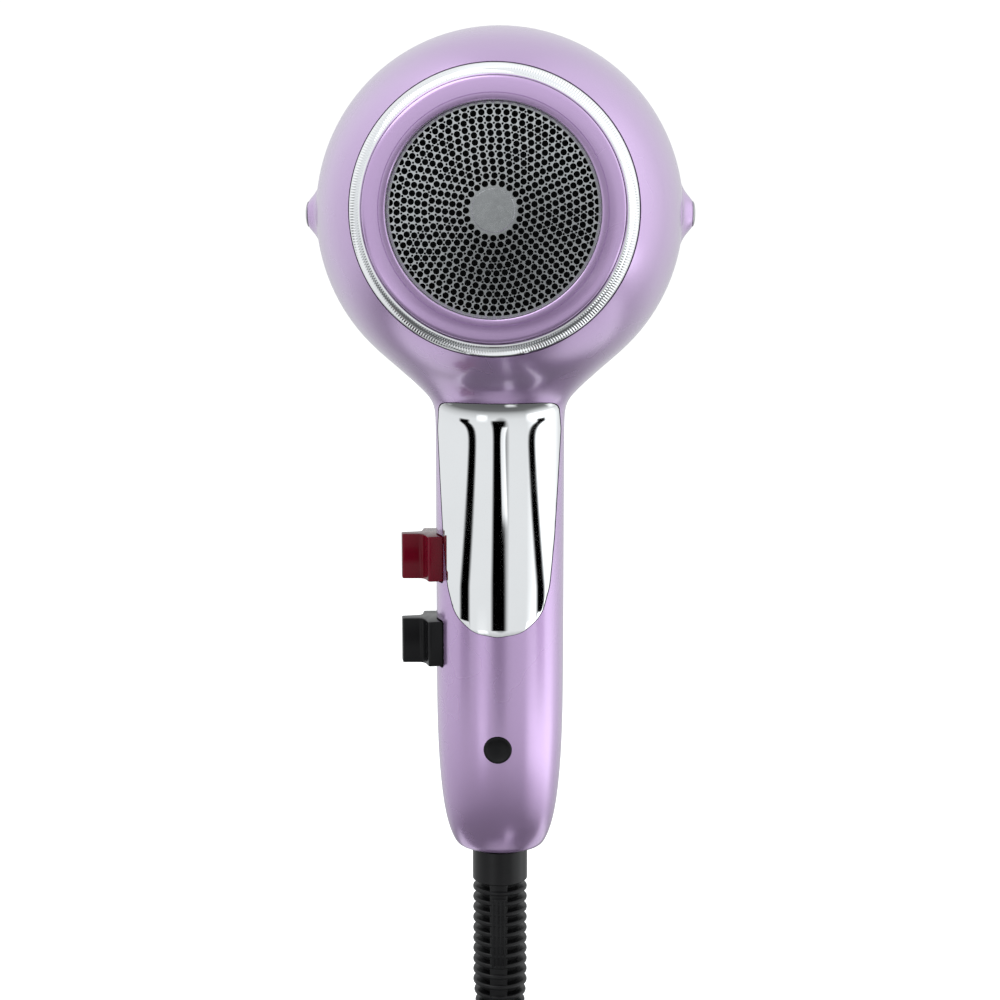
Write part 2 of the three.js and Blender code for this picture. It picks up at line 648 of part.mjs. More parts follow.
function plugBody() {
  const { x, y, z, boot, body, width, height } = PLUG;
  const corner = 12;
  const straightY = width / 2 - corner;
  const straightZ = height / 2 - corner;
  const outline = new THREE.Shape();
  outline.absarc(straightZ, straightY, corner, 0, Math.PI / 2);
  outline.absarc(-straightZ, straightY, corner, Math.PI / 2, Math.PI);
  outline.absarc(-straightZ, -straightY, corner, Math.PI, 1.5 * Math.PI);
  outline.absarc(straightZ, -straightY, corner, 1.5 * Math.PI, 2 * Math.PI);
  const front = 22;
  const block = new THREE.ExtrudeGeometry(outline, { depth: front, bevelEnabled: false, curveSegments: 6 });
  const nose = solidOf(block.rotateY(Math.PI / 2).translate(x + boot + body - front, y, z));
  const shoulder = turnedAlongX([[0, 0], [5.2, 0], [6.6, boot], [10.5, boot + 4],
    [12.2, boot + body - front + 2], [0, boot + body - front + 2]], 20).translate([x, y, z]);
  return join(nose, shoulder);
}

function plugPin(side) {
  const start = PLUG.x + PLUG.boot + PLUG.body + GAP;
  const profile = [[0, 0], [PIN.radius, 0], [PIN.radius, PIN.length - 1.5], [1.2, PIN.length], [0, PIN.length]];
  return turnedAlongX(profile, 16).translate([start, PLUG.y + (side * PIN.spacing) / 2, PLUG.z]);
}

function addCord() {
  place('strain_relief', strainRelief(), RUBBER);
  const aboveSleeve = box(-20, 20, -20, 20, SLEEVE_END - GAP, 0);
  const drop = tube(DROP_ROUTE, CORD_RADIUS, CORD_SIDES, 20);
  place('cord_drop', cut(drop, coilSolid(GAP), aboveSleeve), RUBBER, dryer);
  place('cord_coil', coilSolid(0), RUBBER, dryer);
  const tail = tube(TAIL_ROUTE, CORD_RADIUS, CORD_SIDES, 24);
  place('cord_tail', cut(tail, coilSolid(GAP)), RUBBER, dryer);
  place('cord_tie', cordTie(), BLACK_PLASTIC, dryer);
  place('plug_body', plugBody(), RUBBER, dryer);
  place('plug_pin_1', plugPin(-1), STEEL, dryer);
  place('plug_pin_2', plugPin(1), STEEL, dryer);
}

addHousing();
addIntake();
addMotor();
addHeater();
addSwitches();
addWiring();
addCord();

export default dryer;
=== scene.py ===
"""A salon hair dryer: lavender lacquer housing, chrome back plate, knurled ring and a wound lead."""

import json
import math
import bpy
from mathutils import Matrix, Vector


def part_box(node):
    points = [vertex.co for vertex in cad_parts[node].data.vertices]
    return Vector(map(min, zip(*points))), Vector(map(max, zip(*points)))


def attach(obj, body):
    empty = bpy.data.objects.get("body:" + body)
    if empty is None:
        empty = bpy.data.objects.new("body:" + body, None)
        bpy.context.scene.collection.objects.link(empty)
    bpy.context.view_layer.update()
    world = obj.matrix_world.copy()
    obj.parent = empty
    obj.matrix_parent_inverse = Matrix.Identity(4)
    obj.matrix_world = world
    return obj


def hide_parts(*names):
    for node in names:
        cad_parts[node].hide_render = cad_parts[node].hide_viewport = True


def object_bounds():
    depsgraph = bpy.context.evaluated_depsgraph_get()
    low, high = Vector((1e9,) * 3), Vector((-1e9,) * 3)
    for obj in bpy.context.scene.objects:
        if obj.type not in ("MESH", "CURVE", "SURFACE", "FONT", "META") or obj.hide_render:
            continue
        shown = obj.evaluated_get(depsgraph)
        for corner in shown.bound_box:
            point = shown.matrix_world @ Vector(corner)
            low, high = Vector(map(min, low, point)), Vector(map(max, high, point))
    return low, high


bl_info = {
    "name": "Salon hair dryer",
    "version": (1, 0, 0),
    "blender": (4, 5, 0),
    "location": "View3D > Sidebar > Dryer",
    "description": "Builds a hair dryer around its packed frame",
    "category": "Object",
}

import bmesh
import bpy
from mathutils import Matrix, Vector

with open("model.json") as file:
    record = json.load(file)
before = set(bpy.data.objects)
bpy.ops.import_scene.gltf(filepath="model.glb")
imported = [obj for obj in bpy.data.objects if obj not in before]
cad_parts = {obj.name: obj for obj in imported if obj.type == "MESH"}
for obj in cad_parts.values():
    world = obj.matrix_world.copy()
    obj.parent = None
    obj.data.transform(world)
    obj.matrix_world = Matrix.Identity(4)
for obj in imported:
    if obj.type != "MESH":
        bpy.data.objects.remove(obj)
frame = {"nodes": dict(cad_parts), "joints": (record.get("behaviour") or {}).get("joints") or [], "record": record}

CAD_BOUNDS = [list(corner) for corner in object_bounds()]
NODES = frame["nodes"]
MM = 0.001

# The pivots of the moving bodies, as the frame has them.
JOINTS = {joint["name"]: joint for joint in frame["joints"]}
HEAD_Z = JOINTS["fan_spin"]["pos_m"][2]
ROCKER_Z = {"red": JOINTS["red_tilt"]["pos_m"][2], "black": JOINTS["black_tilt"]["pos_m"][2]}
HEAD_MIDDLE = Vector((0, 0, HEAD_Z))

# Turning matrices: a profile is drawn as (radius, along) in the XZ plane, with the axis along Z.
AXIS_Y = Matrix.Translation(HEAD_MIDDLE) @ Matrix.Rotation(-math.pi / 2, 4, "X")
AXIS_Z = Matrix.Translation(HEAD_MIDDLE)
AXIS_X = Matrix.Translation(HEAD_MIDDLE) @ Matrix.Rotation(math.pi / 2, 4, "Y")

# ---------------------------------------------------------------------------------------------
# Settings that a user would change
# ---------------------------------------------------------------------------------------------


def length_prop(name, description, default_mm):
    return bpy.props.FloatProperty(
        name=name, description=description, default=default_mm * MM, unit="LENGTH", precision=5
    )


def colour_prop(name, description, default):
    return bpy.props.FloatVectorProperty(
        name=name, description=description, default=default, size=3, subtype="COLOR", min=0, max=1
    )


class DryerSizes(bpy.types.PropertyGroup):
    wall: length_prop("Wall", "Thickness of the moulded housing", 2.2)
    seam: length_prop("Seam", "Gap between the two housing halves", 0.3)
    lead_diameter: length_prop("Lead", "Outside diameter of the mains lead", 7.5)
    hole: length_prop("Grille hole", "Diameter of one hole in the intake grille", 1.65)
    pinhole: length_prop("Pinhole", "Diameter of the small holes between them", 0.64)
    rib_pitch: length_prop("Rib pitch", "Distance between the strain relief's ribs", 3.03)
    ridges: bpy.props.IntProperty(
        name="Ridges", description="Ridges round the knurled ring", default=328, min=60, max=600
    )


class DryerColours(bpy.types.PropertyGroup):
    lacquer: colour_prop("Lacquer", "Housing lacquer", (0.49, 0.33, 0.585))
    # The second lacquer colour is painted shade, mixed in where the surface turns away from view.
    lacquer_painted_shade: colour_prop("Lacquer shade", "Lacquer where it turns away", (0.43, 0.27, 0.54))
    rocker: colour_prop("Clear red", "The translucent rocker", (0.11, 0.001, 0.008))
    black: colour_prop("Black", "Moulded black plastic and rubber", (0.004, 0.004, 0.0045))
    floor: colour_prop("Floor", "The pale floor", (0.95, 0.95, 0.95))


def sizes():
    return bpy.context.scene.dryer_sizes


def colours():
    return bpy.context.scene.dryer_colours


# ---------------------------------------------------------------------------------------------
# Mesh tools
# ---------------------------------------------------------------------------------------------

SHARP_ANGLE = math.radians(32)
MERGE_DISTANCE = 0.002 * MM


def new_object(name, data):
    """An object that holds the data, linked into the scene."""
    obj = bpy.data.objects.new(name, data)
    bpy.context.scene.collection.objects.link(obj)
    return obj


def shade(mesh, angle=SHARP_ANGLE):
    """Smooth shading that breaks at edges sharper than the angle."""
    mesh.shade_smooth()
    mesh.set_sharp_from_angle(angle=angle)


def make_object(name, bm, material=None, smooth=True, sharp=SHARP_ANGLE):
    """A finished object from a bmesh that is already in place, in metres."""
    mesh = bpy.data.meshes.new(name)
    bm.to_mesh(mesh)
    bm.free()
    if smooth:
        shade(mesh, sharp)
    if material:
        mesh.materials.append(material)
    return new_object(name, mesh)


def refinish(obj, material):
    """Leaves the object with one material."""
    obj.data.materials.clear()
    obj.data.materials.append(material)


def tidy(bm):
    """Merges doubled vertices and turns the faces outwards."""
    bmesh.ops.remove_doubles(bm, verts=bm.verts, dist=MERGE_DISTANCE)
    bmesh.ops.recalc_face_normals(bm, faces=bm.faces)


def push(bm, faces, way):
    """Extrudes faces and moves the new side."""
    made = bmesh.ops.extrude_face_region(bm, geom=faces)["geom"]
    side = [v for v in made if isinstance(v, bmesh.types.BMVert)]
    bmesh.ops.translate(bm, verts=side, vec=way)


def soften(bm, edges, width, segments, clamp=False):
    """Rounds edges by a width in millimetres."""
    bmesh.ops.bevel(
        bm, geom=edges, offset=width * MM, offset_type="OFFSET", segments=segments, profile=0.5,
        affect="EDGES", material=-1, clamp_overlap=clamp,
    )


def spun(points, axis=AXIS_Y, steps=96, closed=True):
    """A bmesh of a profile of (radius, along) points in millimetres turned right round an axis."""
    bm = bmesh.new()
    verts = [bm.verts.new((r * MM, 0, along * MM)) for r, along in points]
    edges = [bm.edges.new(pair) for pair in zip(verts, verts[1:])]
    if closed and points[0][0] > 0:
        edges.append(bm.edges.new((verts[-1], verts[0])))
    bmesh.ops.spin(
        bm, geom=verts + edges, axis=(0, 0, 1), cent=(0, 0, 0), angle=2 * math.pi,
        steps=steps, use_merge=True,
    )
    tidy(bm)
    bm.transform(axis)
    return bm


def rounded(points, radius, segments=4):
    """A closed outline in (x, y) with rounded corners; a corner's third value is its own radius."""
    out = []
    count = len(points)
    for i, corner in enumerate(points):
        here = Vector(corner[:2])
        back = Vector(points[i - 1][:2]) - here
        ahead = Vector(points[(i + 1) % count][:2]) - here
        turn = back.angle(ahead)
        reach = (corner[2] if len(corner) > 2 else radius) / math.tan(turn / 2)
        reach = min(reach, back.length * 0.49, ahead.length * 0.49)
        if reach < 1e-6:
            out.append(tuple(here))
            continue
        start = here + back.normalized() * reach
        end = here + ahead.normalized() * reach
        for k in range(segments + 1):
            t = k / segments
            point = start.lerp(here, t).lerp(here.lerp(end, t), t)
            out.append(tuple(point))
    return out


def extruded(points, low, high, matrix, bevel=0.0, segments=3):
    """A bmesh of an outline of (x, y) millimetres pushed along Z from low to high, edges bevelled."""
    bm = bmesh.new()
    verts = [bm.verts.new((x * MM, y * MM, low * MM)) for x, y in points]
    push(bm, [bm.faces.new(verts)], (0, 0, (high - low) * MM))
    bmesh.ops.recalc_face_normals(bm, faces=bm.faces)
    if bevel:
        caps = [f for f in bm.faces if abs(f.normal.z) > 0.9]
        soften(bm, list({e for f in caps for e in f.edges}), bevel, segments, clamp=True)
    bm.transform(matrix)
    bmesh.ops.recalc_face_normals(bm, faces=bm.faces)
    return bm


def block(low, high, bevel=0.0, segments=3):
    """A bmesh box between two corners in millimetres, measured in the part's frame."""
    size = [b - a for a, b in zip(low, high)]
    middle = [(a + b) / 2 * MM for a, b in zip(low, high)]
    bm = bmesh.new()
    bmesh.ops.create_cube(bm, size=1)
    bmesh.ops.scale(bm, vec=[s * MM for s in size], verts=bm.verts)
    bmesh.ops.translate(bm, vec=middle, verts=bm.verts)
    if bevel:
        soften(bm, bm.edges[:], bevel, segments)
    return bm


def to_side(bm, side):
    """A shape made for the right side, mirrored when the side is -1."""
    if side < 0:
        bmesh.ops.scale(bm, vec=(-1, 1, 1), verts=bm.verts)
        bmesh.ops.reverse_faces(bm, faces=bm.faces)
    return bm


def joined(*parts):
    """One bmesh that holds several, which are freed."""
    whole = bmesh.new()
    for part in parts:
        mesh = bpy.data.meshes.new("joining")
        part.to_mesh(mesh)
        part.free()
        whole.from_mesh(mesh)
        bpy.data.meshes.remove(mesh)
    return whole


def bake(obj):
    """Applies the object's modifiers to its mesh."""
    bpy.context.view_layer.update()
    held = obj.evaluated_get(bpy.context.evaluated_depsgraph_get())
    mesh = bpy.data.meshes.new_from_object(held)
    mesh.name = obj.name
    old = obj.data
    obj.modifiers.clear()
    obj.data = mesh
    bpy.data.meshes.remove(old)


def modify(obj, kind, **settings):
    """Adds a modifier with its settings and bakes it in."""
    modifier = obj.modifiers.new(kind.lower(), kind)
    for key, value in settings.items():
        setattr(modifier, key, value)
    bake(obj)


def discard(obj):
    mesh = obj.data
    bpy.data.objects.remove(obj)
    bpy.data.meshes.remove(mesh)


def carve(obj, tools, operation="DIFFERENCE"):
    """Cuts, joins or keeps what is common with each tool, a bmesh that is used up."""
    for bm in tools:
        tool = make_object("carving_tool", bm, smooth=False)
        modify(obj, "BOOLEAN", operation=operation, solver="EXACT", object=tool)
        discard(tool)


def settle(obj, body, slot, *nodes):
    """The piece rides on a body and stands for its CAD nodes, which it hides; the slot is not used."""
    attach(obj, body)
    if nodes:
        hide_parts(*nodes)
    return obj


def add_piece(name, bm, material, body, slot, *nodes, sharp=SHARP_ANGLE):
    """A finished piece from a bmesh, settled on its body."""
    return settle(make_object(name, bm, material, sharp=sharp), body, slot, *nodes)


# ---------------------------------------------------------------------------------------------
# Shader tools
# ---------------------------------------------------------------------------------------------


class Tree:
    """Adds and links nodes in one node tree."""

    def __init__(self, tree):
        self.tree = tree

    def node(self, kind, inputs=None, **settings):
        made = self.tree.nodes.new(kind)
        for key, value in settings.items():
            setattr(made, key, value)
        for key, value in (inputs or {}).items():
            self.feed(value, made.inputs[key])
        return made

    def feed(self, value, socket):
        if isinstance(value, bpy.types.NodeSocket):
            self.tree.links.new(value, socket)
        elif isinstance(value, bpy.types.Node):
            self.tree.links.new(value.outputs[0], socket)
        else:
            socket.default_value = value

    def mix(self, factor, first, second):
        made = self.node("ShaderNodeMix", data_type="RGBA")
        for key, value in ((0, factor), (6, first), (7, second)):
            self.feed(value, made.inputs[key])
        return made.outputs[2]

    def ramp(self, value, low, high, start=0.0, end=1.0):
        made = self.node("ShaderNodeMapRange", {"Value": value})
        for key, number in (("From Min", start), ("From Max", end), ("To Min", low), ("To Max", high)):
            made.inputs[key].default_value = number
        return made.outputs[0]

    def noise(self, vector, scale, detail=3.0, roughness=0.55):
        inputs = {"Vector": vector, "Scale": scale, "Detail": detail, "Roughness": roughness}
        return self.node("ShaderNodeTexNoise", inputs).outputs[0]

    def place(self):
        return self.node("ShaderNodeTexCoord").outputs["Object"]

    def math(self, operation, first, second=0.5):
        return self.node("ShaderNodeMath", {0: first, 1: second}, operation=operation).outputs[0]

    def times(self, first, second):
        return self.math("MULTIPLY", first, second)

    def plus(self, first, second):
        return self.math("ADD", first, second)


def shader_group(name, inputs, outputs):
    """A new shader node group with its sockets: returns (group, Tree, input node, output node)."""
    group = bpy.data.node_groups.new(name, "ShaderNodeTree")
    for label, kind, default in inputs:
        made = group.interface.new_socket(name=label, in_out="INPUT", socket_type=kind)
        made.default_value = default
    for label, kind in outputs:
        group.interface.new_socket(name=label, in_out="OUTPUT", socket_type=kind)
    tree = Tree(group)
    return group, tree, tree.node("NodeGroupInput"), tree.node("NodeGroupOutput")


def once(build):
    """A material or group is built the first time it is asked for and shared after that."""
    made = {}

    def get():
        if build not in made:
            made[build] = build()
        return made[build]

    return get


@once
def grain_group():
    """Fine even grain: a height for bump and a small spread of roughness."""
    group, tree, given, out = shader_group(
        "moulded_grain",
        [("Scale", "NodeSocketFloat", 1500.0), ("Roughness", "NodeSocketFloat", 0.4),
         ("Spread", "NodeSocketFloat", 0.1)],
        [("Height", "NodeSocketFloat"), ("Roughness", "NodeSocketFloat")],
    )
    place = tree.place()
    swing = tree.math("SUBTRACT", tree.noise(place, 45.0, 3.0), 0.5)
    spread = tree.times(swing, given.outputs["Spread"])
    tree.feed(tree.noise(place, given.outputs["Scale"], 2.0), out.inputs["Height"])
    tree.feed(tree.plus(spread, given.outputs["Roughness"]), out.inputs["Roughness"])
    return group


@once
def wear_and_glow_group():
    """A mask that is bright in patches along sharp edges: worn edges on moulded pieces, painted edge glow on the
    red rocker.
    """
    group, tree, given, out = shader_group(
        "edge_wear_and_glow", [("Reach", "NodeSocketFloat", 0.5)], [("Mask", "NodeSocketFloat")]
    )
    point = tree.node("ShaderNodeNewGeometry").outputs["Pointiness"]
    edge = tree.ramp(point, 0.0, 1.0, 0.52, 0.62)
    mask = tree.times(edge, tree.noise(tree.place(), 220.0, 4.0, 0.7))
    tree.feed(tree.times(mask, given.outputs["Reach"]), out.inputs["Mask"])
    return group


def new_material(name, plain=None):
    """(material, Tree, Principled BSDF) with the values that are the same all over the piece."""
    material = bpy.data.materials.new(name)
    material.use_nodes = True
    material.node_tree.nodes.clear()
    tree = Tree(material.node_tree)
    shader = tree.node("ShaderNodeBsdfPrincipled", plain)
    out = tree.node("ShaderNodeOutputMaterial")
    tree.feed(shader.outputs[0], out.inputs["Surface"])
    return material, tree, shader


def add_bump(tree, shader, height, strength, distance):
    bump = tree.node("ShaderNodeBump", {"Height": height, "Strength": strength, "Distance": distance})
    tree.feed(bump.outputs[0], shader.inputs["Normal"])


def moulded(name, colour, roughness, grain_scale, bump, dust=0.02, gloss=0.25):
    """Moulded plastic or rubber: grain, a little dust in patches and paler worn edges."""
    material, tree, shader = new_material(name, {"Specular IOR Level": gloss})
    grained = {"Scale": grain_scale, "Roughness": roughness, "Spread": 0.18}
    grain = tree.node("ShaderNodeGroup", grained, node_tree=grain_group())
    edge_mask = tree.node("ShaderNodeGroup", node_tree=wear_and_glow_group())
    patches = tree.ramp(tree.noise(tree.place(), 60.0, 5.0), 0.0, 1.0, 0.35, 0.75)
    dusty = [min(1.0, c + dust) for c in colour]
    worn = [min(1.0, c * 1.6 + 0.012) for c in colour]
    base = tree.mix(patches, (*colour, 1), (*dusty, 1))
    tree.feed(tree.mix(edge_mask.outputs["Mask"], base, (*worn, 1)), shader.inputs["Base Color"])
    tree.feed(grain.outputs["Roughness"], shader.inputs["Roughness"])
    add_bump(tree, shader, grain.outputs["Height"], bump, 0.02 * MM)
    return material


def metal(name, colour, roughness, streaks=0.08, stretch=(1, 1, 1), bump=0.05):
    """Bare metal with fine streaks along the direction that is stretched least."""
    material, tree, shader = new_material(name, {"Metallic": 1.0})
    place = tree.place()
    mapped = tree.node("ShaderNodeMapping", {"Vector": place, "Scale": stretch})
    lines = tree.noise(mapped.outputs[0], 900.0, 4.0)
    cloud = tree.noise(place, 70.0, 4.0)
    dark = [c * 0.8 for c in colour]
    tree.feed(tree.mix(cloud, (*dark, 1), (*colour, 1)), shader.inputs["Base Color"])
    rough = tree.ramp(lines, roughness - streaks, roughness + streaks, 0.2, 0.8)
    tree.feed(rough, shader.inputs["Roughness"])
    add_bump(tree, shader, lines, bump, 0.01 * MM)
    return material


@once
def lacquer():
    """Lavender metallic lacquer: fine flake under a glossy clear coat, with painted shade where the surface turns
    away from view.
    """
    tint = colours()
    material, tree, shader = new_material("lavender_lacquer", {
        "Metallic": 0.84, "Coat Weight": 0.9, "Coat IOR": 1.75, "Coat Roughness": 0.13,
    })
    place = tree.place()
    flake = tree.noise(place, 1500.0, 1.0)
    cloud = tree.noise(place, 28.0, 3.0)
    # Painted shade: the base colour turns to the darker lacquer colour where the surface turns away from view.
    facing = tree.node("ShaderNodeLayerWeight", {"Blend": 0.35}).outputs["Facing"]
    turned = tree.ramp(facing, 0.0, 1.0, 0.3, 1.0)
    face = tree.mix(turned, (*tint.lacquer, 1), (*tint.lacquer_painted_shade, 1))
    bright = [min(1.0, c * 1.25) for c in tint.lacquer]
    sparkle = tree.ramp(flake, 0.0, 0.1, 0.3, 0.8)
    tree.feed(tree.mix(sparkle, face, (*bright, 1)), shader.inputs["Base Color"])
    tree.feed(tree.ramp(cloud, 0.24, 0.29, 0.3, 0.7), shader.inputs["Roughness"])
    add_bump(tree, shader, tree.noise(place, 420.0, 1.0), 0.04, 0.004 * MM)
    return material


@once
def chrome():
    """Bright plating with the faintest wiping marks."""
    material, tree, shader = new_material("bright_plating", {"Metallic": 1.0})
    smear = tree.noise(tree.place(), 55.0, 5.0, 0.6)
    tone = tree.mix(smear, (0.90, 0.91, 0.92, 1), (0.84, 0.85, 0.86, 1))
    tree.feed(tone, shader.inputs["Base Color"])
    tree.feed(tree.ramp(smear, 0.025, 0.06, 0.35, 0.7), shader.inputs["Roughness"])
    return material


@once
def grille_sheet():
    return metal("grille_sheet", (0.56, 0.58, 0.59), roughness=0.26, streaks=0.05, bump=0.008)


@once
def satin_metal():
    return metal("satin_metal", (0.5, 0.5, 0.51), roughness=0.34, streaks=0.08)


@once
def zinc_steel():
    return metal("zinc_steel", (0.55, 0.56, 0.58), roughness=0.36, streaks=0.1, stretch=(1, 0.1, 1))


@once
def painted_shade_weave():
    """The fine steel filter cloth behind the grille, painted near-black as the shade behind the holes."""
    material, tree, shader = new_material("filter_cloth_painted_shade", {"Metallic": 0.8})
    threads = {"Vector": tree.place(), "Scale": 700.0}
    across = tree.node("ShaderNodeTexWave", threads, bands_direction="X")
    along = tree.node("ShaderNodeTexWave", threads, bands_direction="Z")
    weave = tree.times(across.outputs[1], along.outputs[1])
    # Painted shade: both tones are near-black and stand in for the shade seen through the grille's holes; the
    # weave between them is the cloth's own pattern.
    tone = tree.mix(weave, (0.001, 0.001, 0.0012, 1), (0.012, 0.012, 0.013, 1))
    tree.feed(tone, shader.inputs["Base Color"])
    tree.feed(tree.ramp(weave, 0.75, 0.45), shader.inputs["Roughness"])
    add_bump(tree, shader, weave, 0.4, 0.05 * MM)
    return material


@once
def black_plastic():
    return moulded("black_plastic", tuple(colours().black), roughness=0.4, grain_scale=1800.0,
                   bump=0.12, dust=0.002, gloss=0.16)


@once
def gloss_black():
    return moulded("gloss_black", tuple(colours().black), roughness=0.22, grain_scale=900.0,
                   bump=0.03, dust=0.002, gloss=0.16)


@once
def sleeve_rubber():
    return moulded("sleeve_rubber", (0.003, 0.003, 0.0035), roughness=0.3, grain_scale=1300.0,
                   bump=0.1, dust=0.002)


@once
def lead_rubber():
    return moulded("lead_rubber", (0.008, 0.008, 0.0085), roughness=0.5, grain_scale=2600.0,
                   bump=0.1, dust=0.006)


@once
def red_clear():
    """Clear crimson acrylic, deeper in random patches, with painted glow along its edges."""
    material, tree, shader = new_material("clear_red", {
        "Transmission Weight": 0.12, "Specular IOR Level": 0.15, "IOR": 1.49,
    })
    cloud = tree.noise(tree.place(), 90.0, 2.0)
    red = tuple(colours().rocker)
    deep = tuple(c * 0.55 for c in red)
    body = tree.mix(cloud, (*deep, 1), (*red, 1))
    # Painted glow: the edge mask mixes a bright crimson into the colour along the rocker's edges.
    edge_mask = tree.node("ShaderNodeGroup", {"Reach": 0.5}, node_tree=wear_and_glow_group())
    painted_edge_glow = tree.mix(edge_mask.outputs["Mask"], body, (0.38, 0.001, 0.05, 1))
    tree.feed(painted_edge_glow, shader.inputs["Base Color"])
    tree.feed(tree.ramp(cloud, 0.06, 0.14, 0.3, 0.7), shader.inputs["Roughness"])
    return material


@once
def mica_sheet():
    """Flaky, mottled mica board."""
    material, tree, shader = new_material("mica_sheet")
    place = tree.place()
    flakes = tree.node("ShaderNodeTexVoronoi", {"Vector": place, "Scale": 420.0})
    cloud = tree.noise(place, 120.0, 5.0)
    tone = tree.mix(cloud, (0.34, 0.26, 0.14, 1), (0.62, 0.53, 0.36, 1))
    tree.feed(tone, shader.inputs["Base Color"])
    tree.feed(tree.ramp(flakes.outputs[0], 0.35, 0.6), shader.inputs["Roughness"])
    add_bump(tree, shader, flakes.outputs[0], 0.2, 0.05 * MM)
    return material


@once
def heater_wire():
    return metal("heater_wire", (0.30, 0.27, 0.25), roughness=0.42, streaks=0.1)


@once
def board_green():
    """Solder mask with faint traces under it."""
    material, tree, shader = new_material("board_green")
    place = tree.place()
    traces = tree.node("ShaderNodeTexBrick", {"Vector": place, "Scale": 160.0})
    tone = tree.mix(traces.outputs[1], (0.03, 0.14, 0.07, 1), (0.06, 0.24, 0.11, 1))
    tree.feed(tone, shader.inputs["Base Color"])
    tree.feed(tree.ramp(tree.noise(place, 90.0), 0.3, 0.5), shader.inputs["Roughness"])
    return material


@once
def white_plastic():
    return moulded("white_plastic", (0.72, 0.70, 0.66), roughness=0.5, grain_scale=1200.0,
                   bump=0.08, dust=0.03, gloss=0.5)


# ---------------------------------------------------------------------------------------------
# Lead, camera and stage
# ---------------------------------------------------------------------------------------------

# The lead's route in millimetres: straight down out of the sleeve, round into the coil's top turn.
DROP_ROUTE = [
    (0, 0, -120.6), (0, 0, -126), (0, 0, -132), (0, 0, -138), (0, 0, -143.5), (-0.5, 0, -149.3),
    (-2.1, 0.1, -155.8), (-4.6, 0.3, -160.5), (-8.6, 0.9, -165.5), (-12.5, 2, -169.2),
    (-17.1, 3.7, -172.4), (-21.4, 6, -175), (-24.9, 8.4, -176.4), (-28, 11.1, -177.3),
]
# Out of the coil's lowest turn, along the surface and up into the plug.
TAIL_ROUTE = [
    (-48.5, 52, -200), (-48.5, 60, -200), (-48.5, 68, -199.9), (-48.4, 76, -199.6),
    (-47.6, 86, -198.6), (-44.2, 95.6, -197.2), (-38.4, 103.2, -195.6), (-31, 108.7, -194.1),
    (-23.4, 111.8, -193), (-15, 113, -192.2), (-11, 113, -192),
]
COIL_MIDDLE_Y = 41
COIL_LAYER_Z = (-177.45, -184.95, -192.45, -199.95)
COIL_RADII = (33.5, 41, 48.5)
# Where each turn lies: (radius, height). The top turn is the one that the drop runs into.
COIL_SLOTS = (
    [(COIL_RADII[0], COIL_LAYER_Z[0])]
    + [(r, COIL_LAYER_Z[1]) for r in COIL_RADII]
    + [(r, COIL_LAYER_Z[2]) for r in reversed(COIL_RADII)]
    + [(r, COIL_LAYER_Z[3]) for r in COIL_RADII]
)
# The part of a turn, in degrees, over which the lead moves across into each slot.
COIL_CROSSINGS = (None, (210, 248), (170, 208), (170, 208), (130, 168), (90, 128), (90, 128),
                  (50, 88), (10, 48), (10, 48))
COIL_START = 52.0
COIL_SIDE = 90.0
COIL_STEP = 12.0
FIRST_TURN_PACE = 1.4  # the first turn is at its slot's radius after 1 / 1.4 of the way round


def smooth_step(value):
    value = max(0.0, min(1.0, value))
    return value * value * (3 - 2 * value)


def coil_place(angle):
    """(radius, height) of the lead at an angle counted on through all the turns."""
    done = (angle - COIL_SIDE) / 360
    turn = max(0, min(len(COIL_SLOTS) - 1, int(math.floor(done))))
    if turn == 0:
        radius = COIL_RADII[1] + (COIL_RADII[0] - COIL_RADII[1]) * smooth_step(done * FIRST_TURN_PACE)
        return radius, COIL_LAYER_Z[0]
    start, end = COIL_CROSSINGS[turn]
    moved = smooth_step(((done - turn) * 360 - start) / (end - start))
    (r0, z0), (r1, z1) = COIL_SLOTS[turn - 1], COIL_SLOTS[turn]
    return r0 + (r1 - r0) * moved, z0 + (z1 - z0) * moved


def coil_points():
    """The lead's route through all the coil's turns, in millimetres."""
    points = []
    last = COIL_SIDE + 360 * len(COIL_SLOTS)
    for i in range(int((last - COIL_START) / COIL_STEP)):
        angle = COIL_START + i * COIL_STEP
        radius, z = coil_place(angle)
        turned = math.radians(angle)
        points.append((-radius * math.sin(turned), COIL_MIDDLE_Y - radius * math.cos(turned), z))
    return points


def lead_curve():
    """The mains lead as one curve from the sleeve to the plug."""
    coil_end = (-COIL_RADII[-1], COIL_MIDDLE_Y, COIL_LAYER_Z[-1])
    route = DROP_ROUTE + coil_points() + [coil_end] + TAIL_ROUTE
    curve = bpy.data.curves.new("mains_lead", "CURVE")
    curve.dimensions = "3D"
    curve.bevel_depth = sizes().lead_diameter / 2
    curve.bevel_resolution = 4
    curve.resolution_u = 3
    curve.use_fill_caps = True
    spline = curve.splines.new("BEZIER")
    spline.bezier_points.add(len(route) - 1)
    for point, place in zip(spline.bezier_points, route):
        point.co = [c * MM for c in place]
        point.handle_left_type = "AUTO"
        point.handle_right_type = "AUTO"
    curve.materials.append(lead_rubber())
    return new_object("mains_lead", curve)


PLUG_START = (-10.7, 113, -192)
PLUG_BOOT = 24
PLUG_BODY = 34
PLUG_WIDTH = 35.3
PLUG_HEIGHT = 25.6
PLUG_FACE = 22
PLUG_GRIPS = 4
GRIP_PITCH = 3.2
BOOT_RIBS = 6
BOOT_PITCH = 3.7


def plug_axis():
    return Matrix.Translation([c * MM for c in PLUG_START]) @ Matrix.Rotation(math.pi / 2, 4, "Y")


def plug_outline(grow=0.0, corner=12.0):
    """The plug's rounded section; x of the outline is the part's -Z and y is its Y."""
    half_y = PLUG_WIDTH / 2 + grow
    half_z = PLUG_HEIGHT / 2 + grow
    corners = [(half_z, half_y), (-half_z, half_y), (-half_z, -half_y), (half_z, -half_y)]
    return rounded(corners, corner, 8)


